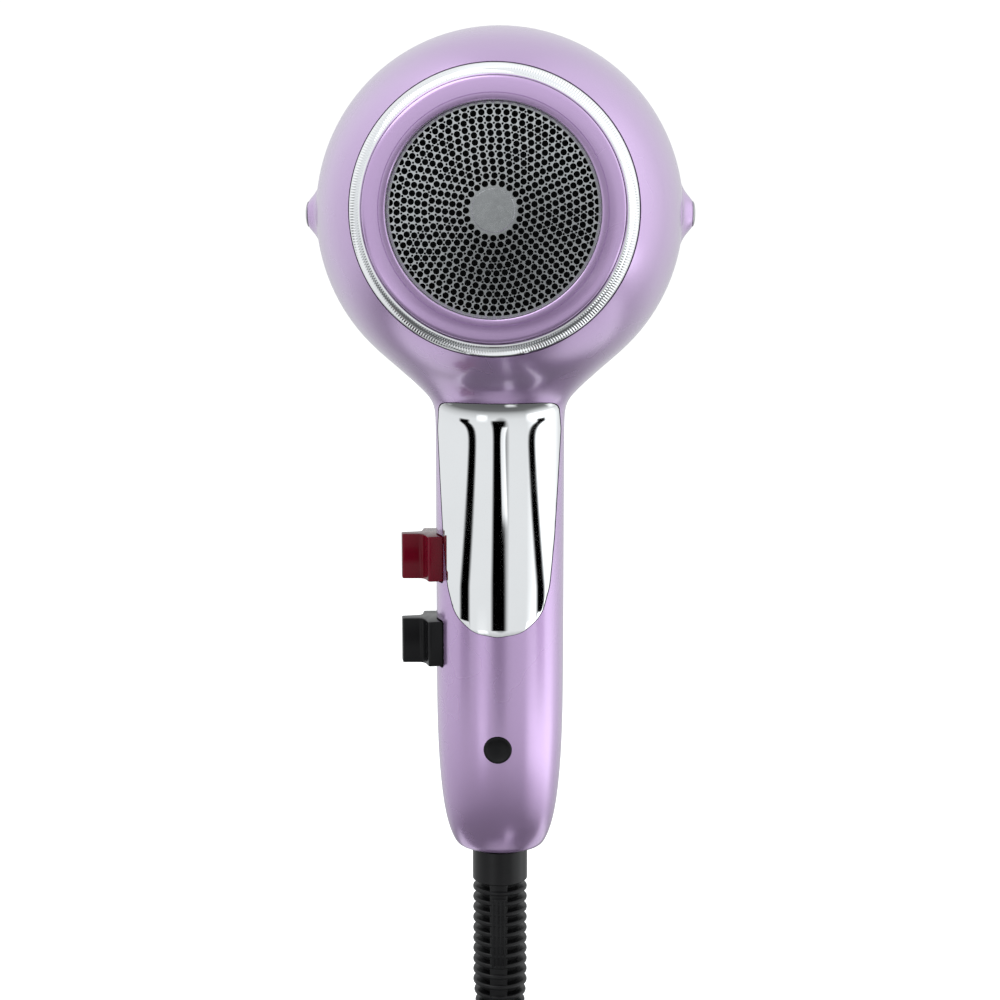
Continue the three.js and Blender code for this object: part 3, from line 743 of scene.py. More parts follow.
def plug_mesh():
    """Grip ribs, a shouldered body and a ribbed boot."""
    back = PLUG_BOOT + PLUG_BODY - PLUG_FACE
    body = extruded(plug_outline(), back, PLUG_BOOT + PLUG_BODY, plug_axis(), 1.6, 4)
    shoulder = spun(
        [(0, 20), (6.4, 20), (6.9, PLUG_BOOT), (8.6, PLUG_BOOT + 2), (10.6, PLUG_BOOT + 5),
         (11.9, back + 1), (11.9, back + 4), (0, back + 4)], plug_axis(), 48)
    ribs = []
    for i in range(BOOT_RIBS):
        start = 1.2 + i * BOOT_PITCH
        radius = 4.9 + 0.26 * i
        ribs += [(radius - 0.9, start), (radius, start + 0.3), (radius, start + 2.1),
                 (radius - 0.9, start + 2.4)]
    boot = spun([(0, 0), (4.2, 0), *ribs, (5.6, PLUG_BOOT), (0, PLUG_BOOT)], plug_axis(), 48)
    grips = []
    for i in range(PLUG_GRIPS):
        low, high = back + 4 + GRIP_PITCH * i, back + 5.6 + GRIP_PITCH * i
        grips.append(extruded(plug_outline(0.35), low, high, plug_axis(), 0.3, 2))
    return joined(body, shoulder, boot, *grips)


TIE_HALF = 6
TIE_Y = (COIL_MIDDLE_Y + 28.65, COIL_MIDDLE_Y + 52.55)
TIE_Z = (-204, -173.4)
TIE_THICKNESS = 1


def tie_outline(grow, corner):
    (low_y, high_y), (low_z, high_z) = ((low - grow, high + grow) for low, high in (TIE_Y, TIE_Z))
    return rounded([(low_y, low_z), (high_y, low_z), (high_y, high_z), (low_y, high_z)], corner)


def tie_mesh():
    """A flat strap round the coil's section with a tucked end."""
    bm = bmesh.new()
    loops = []
    for outline in (tie_outline(0, 1.5), tie_outline(TIE_THICKNESS, 2.5)):
        verts = [bm.verts.new((-TIE_HALF * MM, y * MM, z * MM)) for y, z in outline]
        loops.append([bm.edges.new(pair) for pair in zip(verts, verts[1:] + verts[:1])])
    faces = bmesh.ops.bridge_loops(bm, edges=loops[0] + loops[1])["faces"]
    push(bm, faces, (2 * TIE_HALF * MM, 0, 0))
    tidy(bm)
    flap_z = TIE_Z[1] + 0.9
    flap = block((-5.2, TIE_Y[0] + 6, flap_z), (5.2, TIE_Y[1] - 5, flap_z + 0.38), 0.12, 2)
    return joined(bm, flap)


CAMERA_SIDE = 0.018
CAMERA_BACK = 0.501
CAMERA_DROP = 0.0095
AIM_DROP = 0.0773
LENS = 66.6


def add_camera():
    data = bpy.data.cameras.new("camera")
    data.lens = LENS
    data.sensor_width = 36
    data.clip_start = 0.01
    camera = new_object("camera", data)
    camera.location = (CAMERA_SIDE, -CAMERA_BACK, HEAD_Z - CAMERA_DROP)
    aim = Vector((0, 0, HEAD_Z - AIM_DROP)) - camera.location
    camera.rotation_euler = aim.to_track_quat("-Z", "Y").to_euler()
    bpy.context.scene.camera = camera


# What the studio gives back at a height: sine of the height above the horizon, then brightness.
STUDIO_LIGHT = ((-1.0, 0.10), (-0.62, 0.18), (-0.42, 0.62), (-0.26, 0.85), (0.3, 0.98), (0.85, 1.15))
# Upright strips as (middle, half width) in degrees round from the camera's side towards +X.
DARK_STRIPS = ((-0.5, 9), (-48, 7), (60, 6.5))
STRIP_SINES = (-0.232, -0.05)
STRIP_SPREAD = 0.27  # how much further out the strips stand lower down
SPREAD_SINES = (-0.10, -0.18)
DIM_SPOT = (0.07, -1, -0.07)  # towards the unlit room behind the camera
DIM_SPOT_REACH = (16, 7)  # where it starts and where it is darkest, in degrees from its middle
DIM_SPOT_LIGHT = 0.26
BACK_DIM = (180, 30)
BACK_LIGHT = 0.8
SIDE_CARD = (92, 26)
SIDE_CARD_SINES = (-0.55, 0.7)
SIDE_CARD_LIGHT = 0.55
# Low cards all round, as (middle, half width) in degrees and the sines between which they stand.
LOW_CARDS = (
    (0, 180, -1.2, -0.985), (30, 12, -0.95, -0.84), (130, 20, -0.86, -0.52), (-138, 26, -0.92, -0.62),
    (-31, 7, -0.38, -0.24), (84, 30, -0.4, -0.23),
)
LOW_CARD_LIGHT = 0.8
# A thin bright line beside the middle strip, which leans by its slant.
GLEAM = (0.5, 4.0)
GLEAM_SINES = (-0.145, -0.095)
GLEAM_SLANT = 1.1


def strip(tree, angle, middle, half, soft):
    """1 inside an upright strip of the surroundings and 0 outside, with a soft edge, in degrees."""
    cosine = tree.math("COSINE", tree.math("SUBTRACT", angle, math.radians(middle)))
    outer = math.cos(math.radians(min(half + soft, 180)))
    inner = math.cos(math.radians(max(half - soft, 0)))
    return tree.ramp(cosine, 0.0, 1.0, outer, inner)


def level(tree, height, low, high, soft):
    """1 between two heights and 0 outside, with soft edges."""
    over = tree.ramp(height, 0.0, 1.0, low - soft, low + soft)
    under = tree.ramp(height, 1.0, 0.0, high - soft, high + soft)
    return tree.times(over, under)


def screen(tree, angle, width, height, sines, soft, fade):
    """1 on an upright screen: a strip of the surroundings between two heights."""
    return tree.times(strip(tree, angle, *width, soft), level(tree, height, *sines, fade))


def studio_light(tree):
    """The brightness of the surroundings in every direction."""
    aim = tree.node("ShaderNodeTexCoord").outputs["Generated"]
    x, y, height = tree.node("ShaderNodeSeparateXYZ", {0: aim}).outputs
    angle = tree.math("ARCTAN2", x, tree.times(y, -1.0))
    lit = tree.node("ShaderNodeValToRGB", {0: tree.ramp(height, 0.0, 1.0, -1.0, 1.0)})
    stops = lit.color_ramp.elements
    while len(stops) < len(STUDIO_LIGHT):
        stops.new(0.5)
    brightest = max(light for _, light in STUDIO_LIGHT)
    for stop, (sine, light) in zip(stops, STUDIO_LIGHT):
        stop.position = (sine + 1) / 2
        stop.color = (*[light / brightest] * 3, 1)
    light = tree.times(lit.outputs[0], brightest)
    side = screen(tree, angle, SIDE_CARD, height, SIDE_CARD_SINES, soft=14, fade=0.15)
    light = tree.plus(light, tree.times(side, SIDE_CARD_LIGHT))
    for *width, low, high in LOW_CARDS:
        card = screen(tree, angle, width, height, (low, high), soft=5, fade=0.05)
        light = tree.plus(light, tree.times(card, LOW_CARD_LIGHT))
    drawn = tree.times(angle, tree.ramp(height, 1.0, 1 - STRIP_SPREAD, *SPREAD_SINES))
    for width in DARK_STRIPS:
        dark = screen(tree, drawn, width, height, STRIP_SINES, soft=2.0, fade=0.014)
        light = tree.times(light, tree.ramp(dark, 1.0, 0.0))
    ahead = tree.node("ShaderNodeVectorMath", {0: aim, 1: Vector(DIM_SPOT).normalized()},
                      operation="DOT_PRODUCT").outputs["Value"]
    rim, core = (math.cos(math.radians(reach)) for reach in DIM_SPOT_REACH)
    light = tree.times(light, tree.ramp(ahead, 1.0, DIM_SPOT_LIGHT, rim, core))
    behind = strip(tree, angle, *BACK_DIM, soft=12)
    light = tree.times(light, tree.ramp(behind, 1.0, BACK_LIGHT))
    slant = tree.plus(drawn, tree.times(height, GLEAM_SLANT))
    gleam = screen(tree, slant, GLEAM, height, GLEAM_SINES, soft=1.0, fade=0.004)
    return tree.plus(light, gleam)


def studio_world():
    """A white studio with dark uprights and lit cards, which only reflections and soft light see."""
    world = bpy.data.worlds.new("studio")
    world.use_nodes = True
    world.node_tree.nodes.clear()
    tree = Tree(world.node_tree)
    seen = tree.node("ShaderNodeLightPath").outputs["Is Camera Ray"]
    plain = tree.node("ShaderNodeBackground", {"Color": (1, 1, 1, 1), "Strength": 1.05})
    light = {"Color": (0.97, 0.99, 1, 1), "Strength": studio_light(tree)}
    room = tree.node("ShaderNodeBackground", light)
    mixed = tree.node("ShaderNodeMixShader", {0: seen, 1: room.outputs[0], 2: plain.outputs[0]})
    out = tree.node("ShaderNodeOutputWorld")
    tree.feed(mixed.outputs[0], out.inputs[0])
    bpy.context.scene.world = world


def area_light(name, place, aim, size, power):
    data = bpy.data.lights.new(name, "AREA")
    data.shape = "RECTANGLE"
    data.size, data.size_y = size
    data.energy = power
    lamp = new_object(name, data)
    lamp.location = place
    lamp.rotation_euler = (Vector(aim) - Vector(place)).to_track_quat("-Z", "Y").to_euler()


FLOOR_GLOW = 0.3


def floor_piece(floor_z):
    """A floor that glows a little, as a lit table does; reflections see the studio behind it."""
    bm = bmesh.new()
    bmesh.ops.create_grid(bm, x_segments=2, y_segments=2, size=4)
    bmesh.ops.translate(bm, vec=(0, 0, floor_z), verts=bm.verts)
    material, tree, shader = new_material("pale_floor", {
        "Roughness": 0.9, "Specular IOR Level": 0.1, "Emission Color": (1, 1, 1, 1),
        "Emission Strength": FLOOR_GLOW,
    })
    tint = tuple(colours().floor)
    dim = tuple(c * 0.985 for c in tint)
    tone = tree.mix(tree.noise(tree.place(), 3.0), (*dim, 1), (*tint, 1))
    tree.feed(tone, shader.inputs["Base Color"])
    floor = make_object("floor", bm, material, smooth=False)
    floor.visible_glossy = False
    return floor


class DRYER_OT_stage(bpy.types.Operator):
    """Camera, white studio, lamps and floor"""

    bl_idname = "dryer.stage"
    bl_label = "Stage"

    def execute(self, context):
        add_camera()
        studio_world()
        area_light("key", place=(-0.45, -0.25, 0.95), aim=(0, 0, 0.1), size=(0.9, 0.9), power=4)
        floor_piece(CAD_BOUNDS[0][2] - 0.05 * MM)
        context.scene.view_settings.view_transform = "Standard"
        return {"FINISHED"}


class DRYER_OT_lead(bpy.types.Operator):
    """Mains lead, its tie and its plug"""

    bl_idname = "dryer.lead"
    bl_label = "Lead and plug"

    def execute(self, context):
        lead = settle(lead_curve(), "housing", "lead", "cord_drop", "cord_coil", "cord_tail")
        plug = add_piece("plug_moulding", plug_mesh(), sleeve_rubber(), "housing", "rubber", "plug_body")
        tie = add_piece("lead_tie", tie_mesh(), black_plastic(), "housing", "black_plastic", "cord_tie")
        return {"FINISHED"}


# ---------------------------------------------------------------------------------------------
# Housing
# ---------------------------------------------------------------------------------------------

HEAD_RADIUS = 49.0
HEAD_DEPTH = 59.0
# Half width, height below the head's axis and half depth of the handle, from the neck down.
HANDLE_RINGS = [
    (21.3, -46.6, 21.9), (18.3, -49.8, 18.8), (17.55, -53.2, 18.05), (17.5, -58, 18), (17.5, -80, 18),
    (17.5, -100, 18), (17.5, -120, 18), (17.45, -136, 17.95), (17.05, -148, 17.4), (16.35, -157, 16.2),
    (15.5, -163.5, 14.9), (14.4, -168.4, 13.2), (13.1, -171.9, 11.2), (11.8, -174.1, 9.7),
    (9.6, -174.6, 8.4),
]
HANDLE_HOLE = 6.9
HANDLE_BOTTOM = -174.6
HANDLE_DEPTH = 18 / 17.5
HEAD_STEPS = 32
NECK_HALF_STEPS = 3
# Radius and distance along the air path of the head's rings behind and before its widest section.
HEAD_RINGS_BACK = [-39.8, -38.6, -35, -30, -24, -16, -8, 0]
BARREL_RINGS = [
    (48.75, 8), (47.1, 16), (44.7, 24.5), (41.7, 34), (37.0, 48), (32.6, 64), (29.5, 82), (27.5, 100),
    (26.95, 109), (26.8, 112),
]
NECK_Y = (-24, 24.5)
HOLE_REACH = 30  # the hole's edges lie within this of the head's middle, and the head's open ends don't


def cage_scale(count):
    """How far a subdivision cage of so many sides stands outside its round limit."""
    return 3 / (2 + math.cos(2 * math.pi / count))


def head_cage():
    """The head and barrel as quads, with the hole in its underside that the handle grows from."""
    grow = cage_scale(HEAD_STEPS)
    rear = [(HEAD_RADIUS * math.sqrt(1 - (y / HEAD_DEPTH) ** 2), y) for y in HEAD_RINGS_BACK]
    bm = spun([(r * grow, y) for r, y in rear + BARREL_RINGS], steps=HEAD_STEPS, closed=False)
    under = []
    for face in bm.faces:
        middle = face.calc_center_median() - HEAD_MIDDLE
        angle = math.degrees(math.atan2(middle.x, -middle.z))
        within = abs(angle) < NECK_HALF_STEPS * 360 / HEAD_STEPS
        if within and NECK_Y[0] * MM < middle.y < NECK_Y[1] * MM:
            under.append(face)
    bmesh.ops.delete(bm, geom=under, context="FACES")
    return bm


def handle_cage(bm):
    """Rings of the handle hung under the head's hole and bridged to it."""
    hole = [e for e in bm.edges
            if e.is_boundary and all(abs(v.co.y) < HOLE_REACH * MM for v in e.verts)]
    count = len(hole)
    grow = cage_scale(count)
    loops = []
    for half, z, deep in [*HANDLE_RINGS, (HANDLE_HOLE, HANDLE_BOTTOM, HANDLE_HOLE)]:
        made = bmesh.ops.create_circle(bm, segments=count, radius=half * grow * MM)["verts"]
        bmesh.ops.scale(bm, verts=made, vec=(1, deep / half, 1))
        bmesh.ops.translate(bm, verts=made, vec=(0, 0, HEAD_Z + z * MM))
        loops.append(list({e for v in made for e in v.link_edges}))
    bmesh.ops.bridge_loops(bm, edges=hole + loops[0])
    for upper, lower in zip(loops, loops[1:]):
        bmesh.ops.bridge_loops(bm, edges=upper + lower)
    tidy(bm)
    return bm


def whole_skin(name, rounds=2):
    """The outside of head, barrel, neck and handle as one smooth open surface."""
    obj = make_object(name, handle_cage(head_cage()), smooth=False)
    modify(obj, "SUBSURF", levels=rounds, render_levels=rounds, boundary_smooth="PRESERVE_CORNERS")
    return obj


def side_boss(side):
    """A flared foot on the side of the head, tangent to it, that narrows to the cap."""
    profile = [
        (0, 44), (12.5, 44), (11.4, 46.9), (9.4, 47.8), (7.8, 48.35), (6.6, 48.95), (5.6, 49.6),
        (4.75, 50.3), (4.1, 50.85), (3.7, 51.15), (3.45, 51.3), (0, 51.3),
    ]
    return to_side(spun(profile, AXIS_X, 48), side)


# The chrome plate: half width against height below the head's axis.
PLATE_SIDE = [
    (0, -49.5), (11.0, -49.5, 0.5), (15.9, -49.9, 3.0), (16.5, -57, 12), (15.8, -70, 30), (14.9, -86, 30),
    (13.7, -99, 18), (11.6, -106.6, 9), (6.4, -110.9, 8),
]


def plate_outline(grow=0.0):
    """The plate seen from behind, made wider and taller by an amount."""
    right = [(x + grow if x else 0, z, *rest) for x, z, *rest in PLATE_SIDE]
    right[0] = (0, right[0][1] + grow)
    right = [(x, z + grow if i < 3 else z - grow * 0.3, *rest) for i, (x, z, *rest) in enumerate(right)]
    bottom = [(0, -111.8 - grow, 6)]
    left = [(-x, z, *rest) for x, z, *rest in reversed(right[1:])]
    return rounded(right[1:] + bottom + left, 3.0, 6)


def plate_prism(grow=0.0):
    """The plate's outline pushed from behind the handle to its middle."""
    turn = Matrix.Translation(HEAD_MIDDLE) @ Matrix.Rotation(math.pi / 2, 4, "X")
    return extruded(plate_outline(grow), 2, 30, turn)


def handle_core(inset):
    """A plain round core of the handle and neck, inside its skin by an inset."""
    rings = [(33.0, -36.4), (27.2, -41.6), (21.6, -46.6), (18.7, -50.0), (17.75, -53.6),
             (17.5, -57), (17.5, -130)]
    profile = [(0, -30), (33, -30), *[(r - inset, z) for r, z in rings], (0, -130)]
    bm = spun(profile, AXIS_Z, 96)
    bmesh.ops.scale(bm, vec=(1, HANDLE_DEPTH, 1), verts=bm.verts)
    return bm


SWITCH_HALF_WIDTH = 9.3
SWITCH_HALF_HEIGHT = 6.6


def switch_space(name):
    """The opening for one rocker, as a tool to cut with."""
    middle = ROCKER_Z[name] / MM
    return block((-32, -SWITCH_HALF_WIDTH, middle - SWITCH_HALF_HEIGHT),
                 (-9, SWITCH_HALF_WIDTH, middle + SWITCH_HALF_HEIGHT), 1.0, 3)


SCREW_AXIS = Matrix.Translation((0, 0, -142.8 * MM)) @ AXIS_Y
SCREW_COVER_RADIUS = 3.68
SCREW_HOLE_RADIUS = SCREW_COVER_RADIUS + 0.14


def housing_halves():
    """Rear and front shells, cut from one hollow skin in the seam's plane."""
    shell = whole_skin("housing_shell")
    modify(shell, "SOLIDIFY", thickness=sizes().wall, offset=-1, use_even_offset=True)
    carve(shell, [side_boss(1), side_boss(-1)], "UNION")
    hole = [(0, -30), (SCREW_HOLE_RADIUS, -30), (SCREW_HOLE_RADIUS, -5), (0, -5)]
    carve(shell, [*(switch_space(name) for name in ROCKER_Z), spun(hole, SCREW_AXIS, 40)])
    halves = []
    gap = sizes().seam / MM / 2
    for name, low, high in (("rear_shell", -80, -gap), ("front_shell", gap, 150)):
        half = new_object(name, shell.data.copy())
        half.data.name = name
        carve(half, [block((-90, low, -90), (90, high, 190))], "INTERSECT")
        halves.append(half)
    discard(shell)
    return halves


PLATE_GAP = 0.22
BED_DEPTH = 1.35
PLATE_DEPTH = 1.1
PLATE_RIM = 0.35


def plate_bed(grow, depth):
    """The space between a core of the handle and the outside, inside the plate's outline."""
    bed = make_object("plate_bed", plate_prism(grow), smooth=False)
    carve(bed, [handle_core(depth)])
    bm = bmesh.new()
    bm.from_mesh(bed.data)
    discard(bed)
    return bm


def back_plate():
    """The chrome plate, flush with the handle's skin and softened at its rim."""
    plate = whole_skin("chrome_back_plate", 3)
    bm = bmesh.new()
    bm.from_mesh(plate.data)
    bmesh.ops.holes_fill(bm, edges=bm.edges, sides=0)
    bm.to_mesh(plate.data)
    bm.free()
    carve(plate, [plate_bed(0.0, PLATE_DEPTH)], "INTERSECT")
    carve(plate, [switch_space(name) for name in ROCKER_Z])
    modify(plate, "BEVEL", width=PLATE_RIM * MM, segments=3, limit_method="ANGLE",
           angle_limit=math.radians(50))
    shade(plate.data, math.radians(60))
    return plate


class DRYER_OT_housing(bpy.types.Operator):
    """Rear and front housing shells"""

    bl_idname = "dryer.housing"
    bl_label = "Housing"

    def execute(self, context):
        rear, front = housing_halves()
        carve(rear, [plate_bed(PLATE_GAP, BED_DEPTH)])
        for half, node in ((rear, "rear_housing"), (front, "front_housing")):
            refinish(half, lacquer())
            shade(half.data)
            settle(half, "housing", "housing", node)
        return {"FINISHED"}


def screw_cover():
    """The black plug over the lower screw: a shallow dish with a softened rim."""
    profile = [(0, -17.0), (2.2, -17.05), (2.75, -17.35), (3.2, -17.62), (3.5, -17.6),
               (SCREW_COVER_RADIUS, -17.4), (SCREW_COVER_RADIUS, -13), (0, -13)]
    return spun(profile, SCREW_AXIS, 48)


def side_cap(side):
    """A turned metal cap on a side boss, with a small dimple in its end."""
    profile = [(0, 46.6), (1.6, 46.6), (1.6, 51.35), (3.3, 51.35), (3.4, 51.45), (3.2, 51.65), (2.7, 51.85),
               (2.0, 52.0), (1.2, 52.08), (1.0, 51.95), (0, 51.9)]
    return to_side(spun(profile, AXIS_X, 48), side)


class DRYER_OT_trim(bpy.types.Operator):
    """Chrome back plate, screw plug and side caps"""

    bl_idname = "dryer.trim"
    bl_label = "Trim"

    def execute(self, context):
        plate = back_plate()
        refinish(plate, chrome())
        settle(plate, "housing", "chrome_trim", "handle_back_plate")
        add_piece("screw_cover", screw_cover(), black_plastic(), "housing", "black_plastic", "screw_plug")
        for side, name in ((1, "right"), (-1, "left")):
            add_piece("boss_cap_" + name, side_cap(side), satin_metal(), "housing", "satin_metal",
                      "side_cap_" + name)
        return {"FINISHED"}


# ---------------------------------------------------------------------------------------------
# Intake
# ---------------------------------------------------------------------------------------------

COVER_PROFILE = [
    (26.5, -39.2), (26.5, -45.5), (26.56, -45.85), (26.75, -46.03), (27.0, -46.08), (28.1, -46.03),
    (28.17, -45.93), (28.25, -45.93), (28.32, -46.02), (29.6, -45.94), (31.3, -45.66), (31.9, -45.5),
    (32.2, -45.3), (32.38, -45.0), (32.42, -44.6), (32.42, -43.9), (32.3, -43.2), (32.3, -35),
    (31.4, -35), (31.4, -38.2), (31.2, -39.2),
]
RING_PROFILE = [
    (32.6, -40.1), (35.55, -40.1), (35.8, -40.3), (35.8, -40.75), (35.6, -41.3), (35.05, -42.1),
    (34.3, -42.95), (33.75, -43.5), (33.45, -43.85), (33.2, -44.05), (32.85, -44.1), (32.6, -43.95),
]
KNURL_BAND = (33.42, 35.7)
KNURL_DEPTH = (0.5, 0.1)
KNURL_START_Y = -40.5


def knurled_ring():
    """The ring with a groove between each pair of ridges over its slanting band."""
    ridges = sizes().ridges
    bm = spun(RING_PROFILE, AXIS_Y, ridges * 2)
    step = math.pi / ridges
    for vert in bm.verts:
        place = vert.co - HEAD_MIDDLE
        radius = math.hypot(place.x, place.z) / MM
        if not KNURL_BAND[0] < radius < KNURL_BAND[1] or place.y > KNURL_START_Y * MM:
            continue
        if round(math.atan2(place.z, place.x) / step) % 2:
            outward = (radius - KNURL_BAND[0]) / (KNURL_BAND[1] - KNURL_BAND[0])
            depth = KNURL_DEPTH[0] + (KNURL_DEPTH[1] - KNURL_DEPTH[0]) * outward
            inward = Vector((-place.x, 0, -place.z)).normalized() + Vector((0, 1, 0))
            vert.co += inward * (depth * MM * math.sqrt(0.5))
    return bm


GRILLE_RADIUS = 26.4
GRILLE_EDGE_Y = -43.4
GRILLE_RISE = 1.6
GRILLE_THICKNESS = 0.7
GRILLE_SKIRT_Y = -39.5
DISC_RADIUS = 5.3
FIRST_ROW = 6.7
ROW_PITCH = 1.709
HOLE_SPACING = 2.06
ROW_TWIST = 0.13  # how much further each row is turned, in holes
EDGE_METAL = 0.05
HOLE_SIDES = 10
PIN_SIDES = 6
PIN_WEB = 0.015  # the least metal left between a pinhole and a hole


def grille_y(radius):
    return GRILLE_EDGE_Y - GRILLE_RISE * (1 - (radius / GRILLE_RADIUS) ** 2)


def hole_rows():
    """The middles of the grille's holes, row by row, each row turned a little against the last."""
    rows = []
    radius = FIRST_ROW
    while radius < GRILLE_RADIUS - 0.5:
        count = round(2 * math.pi * radius / HOLE_SPACING)
        offset = 0.5 * (len(rows) % 2) + ROW_TWIST * len(rows)
        angles = [(i + offset) * 2 * math.pi / count for i in range(count)]
        rows.append([Vector((radius * math.cos(a), radius * math.sin(a))) for a in angles])
        radius += ROW_PITCH
    return rows


def middle_of_three(first, second, third):
    """The point as far from each of three points."""
    a, b = second - first, third - first
    area = 2 * (a.x * b.y - a.y * b.x)
    away = Vector((b.y * a.length_squared - a.y * b.length_squared,
                   a.x * b.length_squared - b.x * a.length_squared))
    return first + away / area


def pinholes(rows):
    """A small hole in the middle of each gap between three holes that has room for it."""
    need = (sizes().hole + sizes().pinhole) / 2 / MM + PIN_WEB
    found = []
    for row, others in [*zip(rows, rows[1:]), *zip(rows[1:], rows)]:
        for first, second in zip(row, row[1:] + row[:1]):
            middle = (first + second) / 2
            third = min(others, key=lambda hole: (hole - middle).length)
            point = middle_of_three(first, second, third)
            near = [hole for hole in row + others if (hole - point).length < need]
            if not near and all((point - pin).length > 1.5 * sizes().pinhole / MM for pin in found):
                found.append(point)
    return found


def punched_circle(bm, middle, radius, sides):
    made = bmesh.ops.create_circle(bm, segments=sides, radius=radius)["verts"]
    bmesh.ops.translate(bm, verts=made, vec=(middle[0] * MM, middle[1] * MM, 0))
    return list({e for v in made for e in v.link_edges})


def intake_grille():
    """A domed sheet with its holes: filled flat, pushed through, domed, and given a skirt."""
    bm = bmesh.new()
    edges = punched_circle(bm, (0, 0), GRILLE_RADIUS * MM, 120)
    rows = hole_rows()
    for hole in (hole for row in rows for hole in row):
        if hole.length < GRILLE_RADIUS - sizes().hole / 2 / MM - EDGE_METAL:
            edges += punched_circle(bm, hole, sizes().hole / 2, HOLE_SIDES)
    for pin in pinholes(rows):
        edges += punched_circle(bm, pin, sizes().pinhole / 2, PIN_SIDES)
    bmesh.ops.triangle_fill(bm, use_beauty=True, use_dissolve=False, edges=edges)
    push(bm, bm.faces[:], (0, 0, GRILLE_THICKNESS * MM))
    for vert in bm.verts:
        vert.co.z += grille_y(math.hypot(vert.co.x, vert.co.y) / MM) * MM
    bmesh.ops.recalc_face_normals(bm, faces=bm.faces)
    bm.transform(AXIS_Y)
    inner = GRILLE_RADIUS - GRILLE_THICKNESS
    skirt = [(GRILLE_RADIUS, GRILLE_EDGE_Y), (GRILLE_RADIUS, GRILLE_SKIRT_Y),
             (inner, GRILLE_SKIRT_Y), (inner, GRILLE_EDGE_Y)]
    return joined(bm, spun(skirt, AXIS_Y, 120))


def grille_disc():
    """The blank disc in the grille's middle, with a soft rim."""
    front = grille_y(0) - 0.15
    back = grille_y(0) + 0.06
    profile = [(0, front), (DISC_RADIUS - 0.1, front), (DISC_RADIUS, front + 0.1),
               (DISC_RADIUS, back), (0, back)]
    return spun(profile, AXIS_Y, 64)


class DRYER_OT_intake(bpy.types.Operator):
    """Intake cover, knurled ring, perforated grille and its disc"""

    bl_idname = "dryer.intake"
    bl_label = "Intake"

    def execute(self, context):
        rim = spun(COVER_PROFILE, AXIS_Y, 160)
        add_piece("cover_rim", rim, lacquer(), "cover", "housing", "intake_cover")
        add_piece("chrome_ring", knurled_ring(), chrome(), "ring", "chrome_trim", "knurled_ring",
                  sharp=math.radians(20))
        add_piece("perforated_grille", intake_grille(), grille_sheet(), "cover", "grille", "intake_grille")
        add_piece("blank_disc", grille_disc(), grille_sheet(), "cover", "grille", "grille_disc")
        return {"FINISHED"}


# ---------------------------------------------------------------------------------------------
# Rockers
# ---------------------------------------------------------------------------------------------

# One side of a rocker seen from above: a foot in the opening, a wing and half the fin.
ROCKER_SIDE = [
    (-14.1, 7.4, 0.4), (-16.6, 8.2, 0.6), (-20.4, 8.5, 0.8), (-20.9, 5.0, 1.2), (-21.6, 2.8, 1.6),
    (-27.0, 2.1, 0.6),
]
ROCKER_HALF = 6.15
ROCKER_PIVOT_X = JOINTS["red_tilt"]["pos_m"][0] / MM
ROCKER_REST_TILT = 9.0  # degrees from the middle of its travel


def rocker_mesh(name):
    """One rocker at rest, tilted about its pivot."""
    side = [(x - ROCKER_PIVOT_X, y, r) for x, y, r in ROCKER_SIDE]
    side += [(x, -y, r) for x, y, r in reversed(side)]
    place = Matrix.Translation((ROCKER_PIVOT_X * MM, 0, ROCKER_Z[name]))
    turn = Matrix.Rotation(math.radians(ROCKER_REST_TILT), 4, "Z")
    return extruded(rounded(side, 0.5, 5), -ROCKER_HALF, ROCKER_HALF, place @ turn, 0.25, 3)


class DRYER_OT_rockers(bpy.types.Operator):
    """The clear red rocker and the black one"""

    bl_idname = "dryer.rockers"
    bl_label = "Rockers"

    def execute(self, context):
        for name, material in (("red", red_clear()), ("black", gloss_black())):
            add_piece(name + "_rocker_cap", rocker_mesh(name), material, name + "_switch",
                      "switch_" + name, name + "_rocker")
        return {"FINISHED"}


# ---------------------------------------------------------------------------------------------
# Strain relief
# ---------------------------------------------------------------------------------------------

COLLAR_RADIUS = 7.65
COLLAR_TOP = -174.9
COLLAR_END = -184.3
RIB_RADIUS = 7.6
RIB_HEIGHT = 1.25
GROOVE_RADIUS = 5.0
SLEEVE_RIBS = 16
SLEEVE_END = -235.6
SPINE_RADIUS = 6.9
SPINE_END = -222
SPINE_TOP = -184
TAPER_START = 9
TAPER = 0.3


def rib_radius(i):
    """Ribs narrow only over the last stretch of the sleeve."""
    return RIB_RADIUS - max(0, i - TAPER_START) * TAPER


def sleeve_spine():
    """The solid strip down the rear side, and the slab of upright bars that stands on it."""
    base = HEAD_Z / MM
    web = block((-2.6, -SPINE_RADIUS, base + SPINE_END), (2.3, -4, base + SPINE_TOP), 0.3, 2)
    slab = block((-2.1, -7.35, base - 208.4), (1.9, -5, base - 188.2), 0.2, 2)
    bars = [
        block((x - 0.26, -7.62, base - 208), (x + 0.26, -6, base - 188.6), 0.12, 2)
        for x in (-1.7, -0.62, 0.46, 1.54)
    ]
    front = block((-2.4, 4, base + SPINE_END), (2.4, SPINE_RADIUS, base + SPINE_TOP), 0.3, 2)
    return joined(web, slab, *bars, front)


